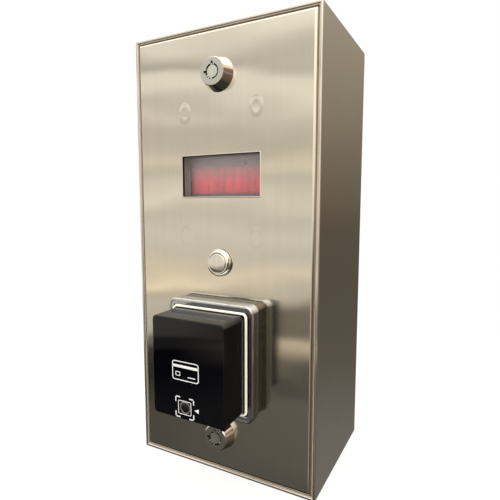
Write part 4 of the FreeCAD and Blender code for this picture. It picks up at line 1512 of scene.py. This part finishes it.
@dataclass
class Board:
    """Lays components on one side of a circuit board."""

    name: str
    body: Body
    face: float
    side: int

    def stand(self, shape: Shape, centre: Pair, size: Pair, reach: Pair, edge: float) -> None:
        """Adds a block that stands on the board.

        Args:
            shape: the mesh it is added to.
            centre: its middle, across and up.
            size: its size, across and up.
            reach: distances of its near and far side from the board.
            edge: radius of its edges.
        """
        depths = tuple(self.face + self.side * distance for distance in reach)
        shape.slab(centre, size, depths, edge)

    def chips(self, rows: tuple) -> None:
        """Places chips with their legs.

        Args:
            rows: middle across, middle up, width and height of each.
        """
        bodies, legs = Shape(), Shape()
        for x, z, width, height in rows:
            self.stand(bodies, (x, z), (width, height), (0.15, 1.7), 0.2)
            count = int(height / LEG_PITCH)
            for number in range(count):
                level = z + (number - (count - 1) / 2) * LEG_PITCH
                for across in (-1, 1):
                    foot = (x + across * (width / 2 + 0.45), level)
                    self.stand(legs, foot, (1.1, 0.5), (0.0, 0.75), 0.08)
        bodies.piece(self.name + "_chips", self.body, SWITCH_BLACK)
        legs.piece(self.name + "_chip_legs", self.body, SOLDER)

    def cans(self, rows: tuple) -> None:
        """Places round capacitors, each a sleeve with a bright top.

        Args:
            rows: middle across, middle up, radius and height of each.
        """
        sleeves, tops = Shape(), Shape()
        for x, z, radius, end in rows:
            sleeve = (
                (0.0, 0.0), (radius, 0.0), (radius, 0.9), (radius - 0.3, 1.2), (radius, 1.5),
                (radius, end - 0.3), (radius - 0.3, end), (radius * 0.72, end), (0.0, end - 0.1),
            )
            top = (
                (0.0, end + 0.06), (radius * 0.68, end + 0.06), (radius * 0.7, end),
                (0.0, end - 0.05),
            )
            for shape, profile in ((sleeves, sleeve), (tops, top)):
                shape.spin(tuple((r, self.side * y) for r, y in profile), (x, z), 32, self.face)
        sleeves.piece(self.name + "_can_sleeves", self.body, CAN_BLUE)
        tops.piece(self.name + "_can_tops", self.body, CAN_SILVER)

    def header(self, name: str, place: Pair, count: int) -> None:
        """Places a pin header in its open shell.

        Args:
            name: its name.
            place: its first pin, across and up.
            count: number of pins.
        """
        shell, pins = Shape(), Shape()
        x, z = place
        middle = x + (count - 1) * PIN_PITCH / 2
        width = count * PIN_PITCH + 2.0
        self.stand(shell, (middle, z), (width, 5.8), (0.0, 1.2), 0.2)
        for across in (-1, 1):
            end = (middle + across * (width / 2 - 0.4), z)
            self.stand(shell, end, (0.8, 5.8), (1.0, 6.6), 0.15)
        for up, top in ((-2.5, 6.6), (2.5, 5.0)):
            self.stand(shell, (middle, z + up), (width, 0.8), (1.0, top), 0.15)
        for number in range(count):
            self.stand(pins, (x + PIN_PITCH * number, z), (0.64, 0.64), (0.5, 5.6), 0.12)
        shell.piece(name, self.body, NYLON_WHITE)
        pins.piece(name + "_pins", self.body, GOLD)

    def scatter(self, count: int, low: Pair, high: Pair, seed: int) -> None:
        """Spreads small surface parts with their soldered ends over a grid.

        Args:
            count: number of places.
            low: the area's lowest corner, across and up.
            high: the area's highest corner.
            seed: start of the order in which places are left out.
        """
        middles, ends = Shape(), Shape()
        column_pitch, row_pitch = 4.4, 4.0
        columns = max(1, int((high[0] - low[0]) / column_pitch))
        for number in range(count):
            if (number * 7 + seed) % 5 == 0:
                continue
            row, column = divmod(number, columns)
            x = low[0] + (column + 0.5) * column_pitch
            z = low[1] + (row + 0.5) * row_pitch
            if z > high[1]:
                break
            self.stand(middles, (x, z), (1.4, 1.25), (0.05, 0.75), 0.05)
            for across in (-0.95, 0.95):
                self.stand(ends, (x + across, z), (0.5, 1.3), (0.0, 0.7), 0.1)
        middles.piece(self.name + "_small_parts", self.body, SWITCH_BLACK)
        ends.piece(self.name + "_small_ends", self.body, SOLDER)


@dataclass
class Electronics:
    """Boards, power supply and terminals inside the box."""

    ways: int = 6
    ribs: int = 11
    rib_margin: float = 6.0
    screw_margin: float = 3.0

    def build(self) -> None:
        """Dresses the boards and supports, and adds what stands on them."""
        dress(CIRCUIT_BOARD, "controller_board")
        dress(NYLON_WHITE, *numbered("board_support"))
        dress(SUPPLY_CASE, "power_supply")
        dress(TERMINAL_GREEN, "terminal_block")
        self.controller()
        self.vents()
        self.terminals()

    def controller(self) -> None:
        """Populates the controller board between its terminals and its supply."""
        low = Span("controller_board").low
        board = Board("controller_board", Body.ENCLOSURE, face=low.y, side=-1)
        base = low.z
        board.chips((
            (-6.0, base + 47.0, 14.0, 14.0), (15.0, base + 52.0, 8.0, 10.0),
            (16.0, base + 38.0, 7.0, 6.0), (-26.0, base + 38.0, 8.0, 10.0),
        ))
        board.cans((
            (33.0, base + 33.0, 4.0, 11.0), (33.0, base + 43.0, 4.0, 11.0),
            (-38.0, base + 52.0, 3.2, 8.0), (36.0, base + 85.0, 3.2, 9.0),
            (36.0, base + 75.0, 3.2, 9.0),
        ))
        board.header("controller_header_left", (-36.0, base + 25.0), 6)
        board.header("controller_header_right", (2.0, base + 25.0), 8)
        board.header("controller_header_top", (-10.0, base + 102.0), 8)
        board.scatter(34, (-34.0, base + 55.0), (30.0, base + 64.0), seed=1)

    def vents(self) -> None:
        """Raises ribs and two pairs of screws on the front of the power supply."""
        span = Span("power_supply")
        low, high, margin = span.low, span.high, self.rib_margin
        ribs, screws = Shape(), Shape()
        pitch = (span.width - 2 * margin) / (self.ribs - 1)
        size, depths = (1.8, span.height - 2 * margin), (low.y - 0.7, low.y + 0.2)
        for number in range(self.ribs):
            x = low.x + margin + number * pitch
            ribs.slab((x, span.centre[1]), size, depths, 0.35, 3)
        for side in (low.x + self.screw_margin, high.x - self.screw_margin):
            for level in (high.z - self.screw_margin, low.z + self.screw_margin):
                screws.rod((side, low.y - 0.9, level), 1.6, 1.1, 24, 0.3)
        ribs.piece("supply_ribs", Body.ENCLOSURE, SUPPLY_CASE, slot="supply_case")
        screws.piece("supply_screws", Body.ENCLOSURE, PLATED_STEEL)

    def terminals(self) -> None:
        """Adds a slotted screw and a wire entry for each terminal, and walls between."""
        span = Span("terminal_block")
        low, high, level = span.low, span.high, span.centre[1]
        front, pitch = low.y, span.width / self.ways
        screws, slots, walls = Shape(), Shape(), Shape()
        for number in range(self.ways):
            x = low.x + pitch * (number + 0.5)
            screws.rod((x, front - 0.35, level + 1.6), 2.2, 0.6, 28, 0.15)
            slots.slab((x, level + 1.6), (3.8, 0.6), (front - 0.42, front - 0.3), 0.03)
            walls.slab((x, low.z + 2.15), (3.4, 2.5), (front - 0.2, front + 0.2), 0.15)
        for number in range(1, self.ways):
            x = low.x + pitch * number
            top = (x + 0.35, front + 0.2, high.z - 0.4)
            walls.block((x - 0.35, front - 0.9, low.z + 0.4), top, 0.15)
        screws.piece("terminal_screws", Body.ENCLOSURE, PLATED_STEEL)
        slots.piece("terminal_slots", Body.ENCLOSURE, SWITCH_BLACK)
        walls.piece("terminal_walls", Body.ENCLOSURE, TERMINAL_GREEN, slot="terminal_green")


@dataclass(frozen=True)
class Glow:
    """One soft patch of the surroundings.

    It fades in between two cosines of the angle from its heading.
    """

    heading: Point
    outer: float
    inner: float
    colour: Colour
    share: float = 1.0

    def over(self, graph: Graph, heading: Socket, colour: Socket) -> Socket:
        """Returns the surroundings' colour with this patch laid over it.

        Args:
            graph: the surroundings' nodes.
            heading: the socket of the direction.
            colour: the socket of the colour under the patch.

        Returns:
            The colour's socket.
        """
        aim = tuple(Vector(self.heading).normalized())
        near = graph.vectors("DOT_PRODUCT", heading, aim).outputs["Value"]
        amount = graph.remap(near, self.outer, self.inner, 0.0, self.share)
        return graph.mix(amount, colour, self.colour)


@dataclass
class Studio:
    """Pale floor, soft lights, plain surroundings and the camera.

    Angles are in degrees. The pairs from sides to right are where one part of the
    surroundings fades into the next, as shares of the heading along X or Y.
    """

    camera_place: Point = (0.15237, -0.29321, 0.18938)
    azimuth: float = 27.989
    elevation: float = 6.087
    roll: float = -0.017
    lens: float = 30.679
    sides: Pair = (-0.58, -0.42)
    behind: Pair = (0.1, 0.6)
    ahead: Pair = (0.05, -0.25)
    right: Pair = (-0.24, -0.12)
    sway: float = 0.05
    sway_scale: float = 2.6
    reach: float = 45.0
    floor_radius: float = 30.0
    floor_drop: float = 0.0002
    aim: Point = (0.0, 0.0, 0.15)

    def build(self) -> None:
        """Sets up everything around the object."""
        bpy.context.scene.view_settings.view_transform = "Standard"
        self.surroundings()
        self.floor()
        for name, place, size, power in SOFTBOXES:
            self.softbox(name, place, size, power)
        self.camera()

    def surroundings(self) -> None:
        """Makes the soft surroundings, white to the eye and graded in reflections."""
        world = bpy.data.worlds.new("studio")
        bpy.context.scene.world = world
        world.use_nodes = True
        graph = Graph(world.node_tree)
        heading = graph.node("TexCoord").outputs["Generated"]
        across, depth = graph.along(heading, "X"), graph.along(heading, "Y")
        angle = graph.math("ARCSINE", graph.along(heading, "Z"))
        sway = graph.math("SUBTRACT", graph.noise(heading, 2, self.sway_scale), 0.5)
        tilt = graph.math("MULTIPLY", sway, self.sway)
        reach = math.radians(self.reach)
        level = graph.remap(angle, -reach, reach)
        swaying = graph.remap(graph.math("ADD", angle, tilt), -reach, reach)
        left, right = (graph.ramp(swaying, self.stops(b)) for b in (LEFT_BANDS, RIGHT_BANDS))
        back, edge = (graph.ramp(level, self.stops(b)) for b in (BACK_BANDS, EDGE_BANDS))
        front = graph.mix(graph.remap(across, *self.sides), left, right)
        colour = graph.mix(graph.remap(depth, *self.behind), front, back)
        ahead, beside = graph.remap(depth, *self.ahead), graph.remap(across, *self.right)
        colour = graph.mix(graph.math("MULTIPLY", beside, ahead), colour, edge)
        for glow in GLOWS:
            colour = glow.over(graph, heading, colour)
        graded = graph.node("Background", {"Color": colour, "Strength": 1.0})
        plain = graph.node("Background", {"Color": WHITE, "Strength": 1.0})
        seen = graph.node("LightPath").outputs["Is Camera Ray"]
        chosen = graph.node("MixShader", {0: seen, 1: graded.outputs[0], 2: plain.outputs[0]})
        graph.node("OutputWorld", {0: chosen.outputs[0]})

    def stops(self, bands: tuple) -> tuple:
        """Turns bands into ramp stops.

        Args:
            bands: elevation in degrees, light and warmth of each.

        Returns:
            Pairs of a place from 0 to 1 and the colour.
        """
        made = []
        for angle, light, warmth in bands:
            tint = Vector(NEUTRAL).lerp(Vector(WARM), warmth)
            made.append(((angle + self.reach) / (2 * self.reach), tuple(light * tint)))
        return tuple(made)

    def floor(self) -> None:
        """Lays a wide pale floor that fades into the white surroundings."""
        shape = bmesh.new()
        bmesh.ops.create_circle(shape, cap_ends=True, segments=96, radius=self.floor_radius)
        mesh = bpy.data.meshes.new("floor")
        shape.to_mesh(mesh)
        shape.free()
        made = bpy.data.objects.new("floor", mesh)
        bpy.context.scene.collection.objects.link(made)
        made.location.z = -self.floor_drop
        material = bpy.data.materials.new("floor_white")
        material.use_nodes = True
        graph = Graph(material.node_tree)
        distance = graph.vectors("LENGTH", graph.place()).outputs["Value"]
        matt = graph.node("BsdfDiffuse", {"Color": (0.93, 0.93, 0.93)})
        glow = graph.node("Emission", {"Color": WHITE, "Strength": 1.0})
        fade = graph.remap(distance, 0.15, 0.6, 0.82, 1.0)
        mixed = graph.node("MixShader", {0: fade, 1: matt.outputs[0], 2: glow.outputs[0]})
        graph.node("OutputMaterial", {0: mixed.outputs[0]})
        mesh.materials.append(material)
        made.visible_glossy = False

    def place(
        self, name: str, data: bpy.types.ID, at: Point, turn: Quaternion,
    ) -> bpy.types.Object:
        """Adds a light or the camera.

        Args:
            name: its name.
            data: the light's or the camera's data.
            at: where it stands.
            turn: its rotation.

        Returns:
            The object.
        """
        made = bpy.data.objects.new(name, data)
        bpy.context.scene.collection.objects.link(made)
        made.location = at
        made.rotation_mode = "QUATERNION"
        made.rotation_quaternion = turn
        return made

    def softbox(self, name: str, at: Point, size: float, power: float) -> None:
        """Hangs one square soft light aimed at the object.

        Args:
            name: its name.
            at: where it hangs.
            size: its side, in metres.
            power: its power in watts.
        """
        data = bpy.data.lights.new(name, "AREA")
        data.size = size
        data.energy = power
        turn = (Vector(self.aim) - Vector(at)).to_track_quat("-Z", "Y")
        self.place(name, data, at, turn).visible_glossy = False

    def camera(self) -> None:
        """Places the camera."""
        azimuth, elevation = math.radians(self.azimuth), math.radians(self.elevation)
        forward = Vector((
            -math.sin(azimuth) * math.cos(elevation),
            math.cos(azimuth) * math.cos(elevation),
            -math.sin(elevation),
        ))
        data = bpy.data.cameras.new("camera")
        data.lens = self.lens
        data.sensor_width = 36.0
        data.clip_start, data.clip_end = 0.01, 100.0
        level = forward.to_track_quat("-Z", "Y").to_matrix()
        roll = Matrix.Rotation(math.radians(self.roll), 3, forward)
        turn = (roll @ level).to_quaternion()
        bpy.context.scene.camera = self.place("camera", data, self.camera_place, turn)


WHITE: Colour = (1.0, 1.0, 1.0)
NEUTRAL: Colour = (1.0, 0.955, 0.86)
WARM: Colour = (1.0, 0.86, 0.66)
SOFTBOXES = (
    ("key_light", (-0.6, -1.1, 1.2), 0.9, 9.0),
    ("fill_light", (1.2, -0.6, 0.6), 0.8, 3.0),
    ("top_light", (0.1, 0.3, 1.4), 0.9, 5.0),
)
LEFT_BANDS = (
    (-45, 0.02, 0.0), (-34, 0.09, 0.0), (-26, 0.09, 0.0), (-22.5, 0.03, 0.0),
    (-19.5, 0.02, 0.0), (-19.0, 0.17, 0.3), (-17.9, 0.19, 0.3), (-17.5, 0.63, 0.2),
    (-13.2, 0.70, 0.0), (-11.6, 0.70, 0.8), (-10.2, 1.15, 0.9), (-8.4, 0.92, 0.8),
    (-6, 0.78, 0.2), (-3.4, 0.84, 0.1), (-1.7, 0.74, 0.2), (0, 1.0, 0.2), (2.7, 0.86, 0.1),
    (4.2, 0.70, 0.3), (5.6, 0.88, 0.4), (7.4, 0.70, 0.2), (9.8, 0.68, 0.0), (11.2, 0.88, 0.0),
    (12.5, 0.68, 0.0), (13.9, 1.04, 0.0), (15.3, 1.02, 0.0), (16.7, 0.54, 0.0),
    (18, 0.76, 0.0), (19.3, 1.02, 0.0), (30, 0.90, 0.0), (42, 1.6, 0.0), (45, 1.9, 0.0),
)
RIGHT_BANDS = (
    (-45, 0.02, 0.1), (-36, 0.11, 0.1), (-26, 0.14, 0.1), (-23.4, 0.09, 0.1),
    (-21.5, 0.10, 0.1), (-20.0, 0.56, 1.0), (-18.6, 0.72, 1.0), (-17.3, 0.18, 0.6),
    (-14.2, 0.20, 0.6), (-12.3, 0.66, 0.3), (-10.5, 0.72, 0.3), (-8.8, 0.94, 0.5),
    (-7, 0.72, 0.0), (-3.7, 0.86, 0.0), (-2, 0.73, 0.0), (-0.2, 0.90, 0.2), (3.3, 0.70, 0.2),
    (5, 0.90, 0.4), (6.7, 0.69, 0.4), (8.6, 0.66, 0.3), (11.4, 0.76, 0.2), (13.2, 1.04, 0.0),
    (15.1, 1.02, 0.0), (16.7, 0.66, 0.1), (18.0, 0.70, 0.1), (19.6, 0.82, 0.1),
    (21.3, 1.05, 0.0), (24, 1.2, 0.0), (36, 1.1, 0.0), (45, 1.9, 0.0),
)
BACK_BANDS = (
    (-45, 0.24, 0.2), (-29, 0.195, 0.1), (-24.5, 0.165, 0.2), (-20, 0.128, 0.6),
    (-10, 0.110, 0.9), (-3, 0.115, 1.0), (1, 0.165, 1.0), (6, 0.225, 1.0), (12, 0.31, 1.0),
    (18, 0.39, 0.9), (26, 0.46, 0.4), (45, 1.00, 0.0),
)
EDGE_BANDS = (
    (-45, 0.05, 0.6), (-38, 0.10, 0.6), (-33, 0.42, 0.6), (-25, 0.47, 0.7), (-12, 0.78, 0.6),
    (0, 1.05, 0.4), (12, 1.35, 0.3), (25, 1.80, 0.1), (45, 1.9, 0.0),
)
GLOWS = (
    Glow((-0.03, 0.62, 0.78), 0.86, 0.93, (1.0, 0.99, 0.97)),
    Glow((-0.16, 0.51, -0.84), 0.86, 0.94, (0.03, 0.027, 0.025)),
    Glow((0.86, 0.48, 0.10), 0.88, 0.97, (0.27, 0.19, 0.135), 0.9),
    Glow((0.87, -0.42, 0.27), 0.955, 0.988, (0.24, 0.105, 0.055), 0.95),
    Glow((0.72, -0.32, 0.62), 0.975, 0.993, (1.30, 0.68, 0.32)),
    Glow((0.28, -0.56, 0.78), 0.93, 0.975, (2.3, 2.25, 2.2)),
    Glow((0.80, -0.50, -0.33), 0.87, 0.95, (0.13, 0.085, 0.062), 0.9),
    Glow((0.418, -0.826, -0.365), 0.93, 0.975, (0.070, 0.058, 0.046), 0.9),
)


def main() -> None:
    """Builds the whole model in order."""
    logging.basicConfig(level=logging.INFO, format="%(name)s: %(message)s")
    parts = (
        Studio(),
        Enclosure(),
        Electronics(),
        FrontPanel(),
        Display(),
        PushButton(),
        CamLock("upper", Body.UPPER_LOCK),
        CamLock("lower", Body.LOWER_LOCK),
        CardReader(),
    )
    for part in parts:
        part.build()
        log.info("%s is done", type(part).__name__)


if __name__ == "__main__":
    main()
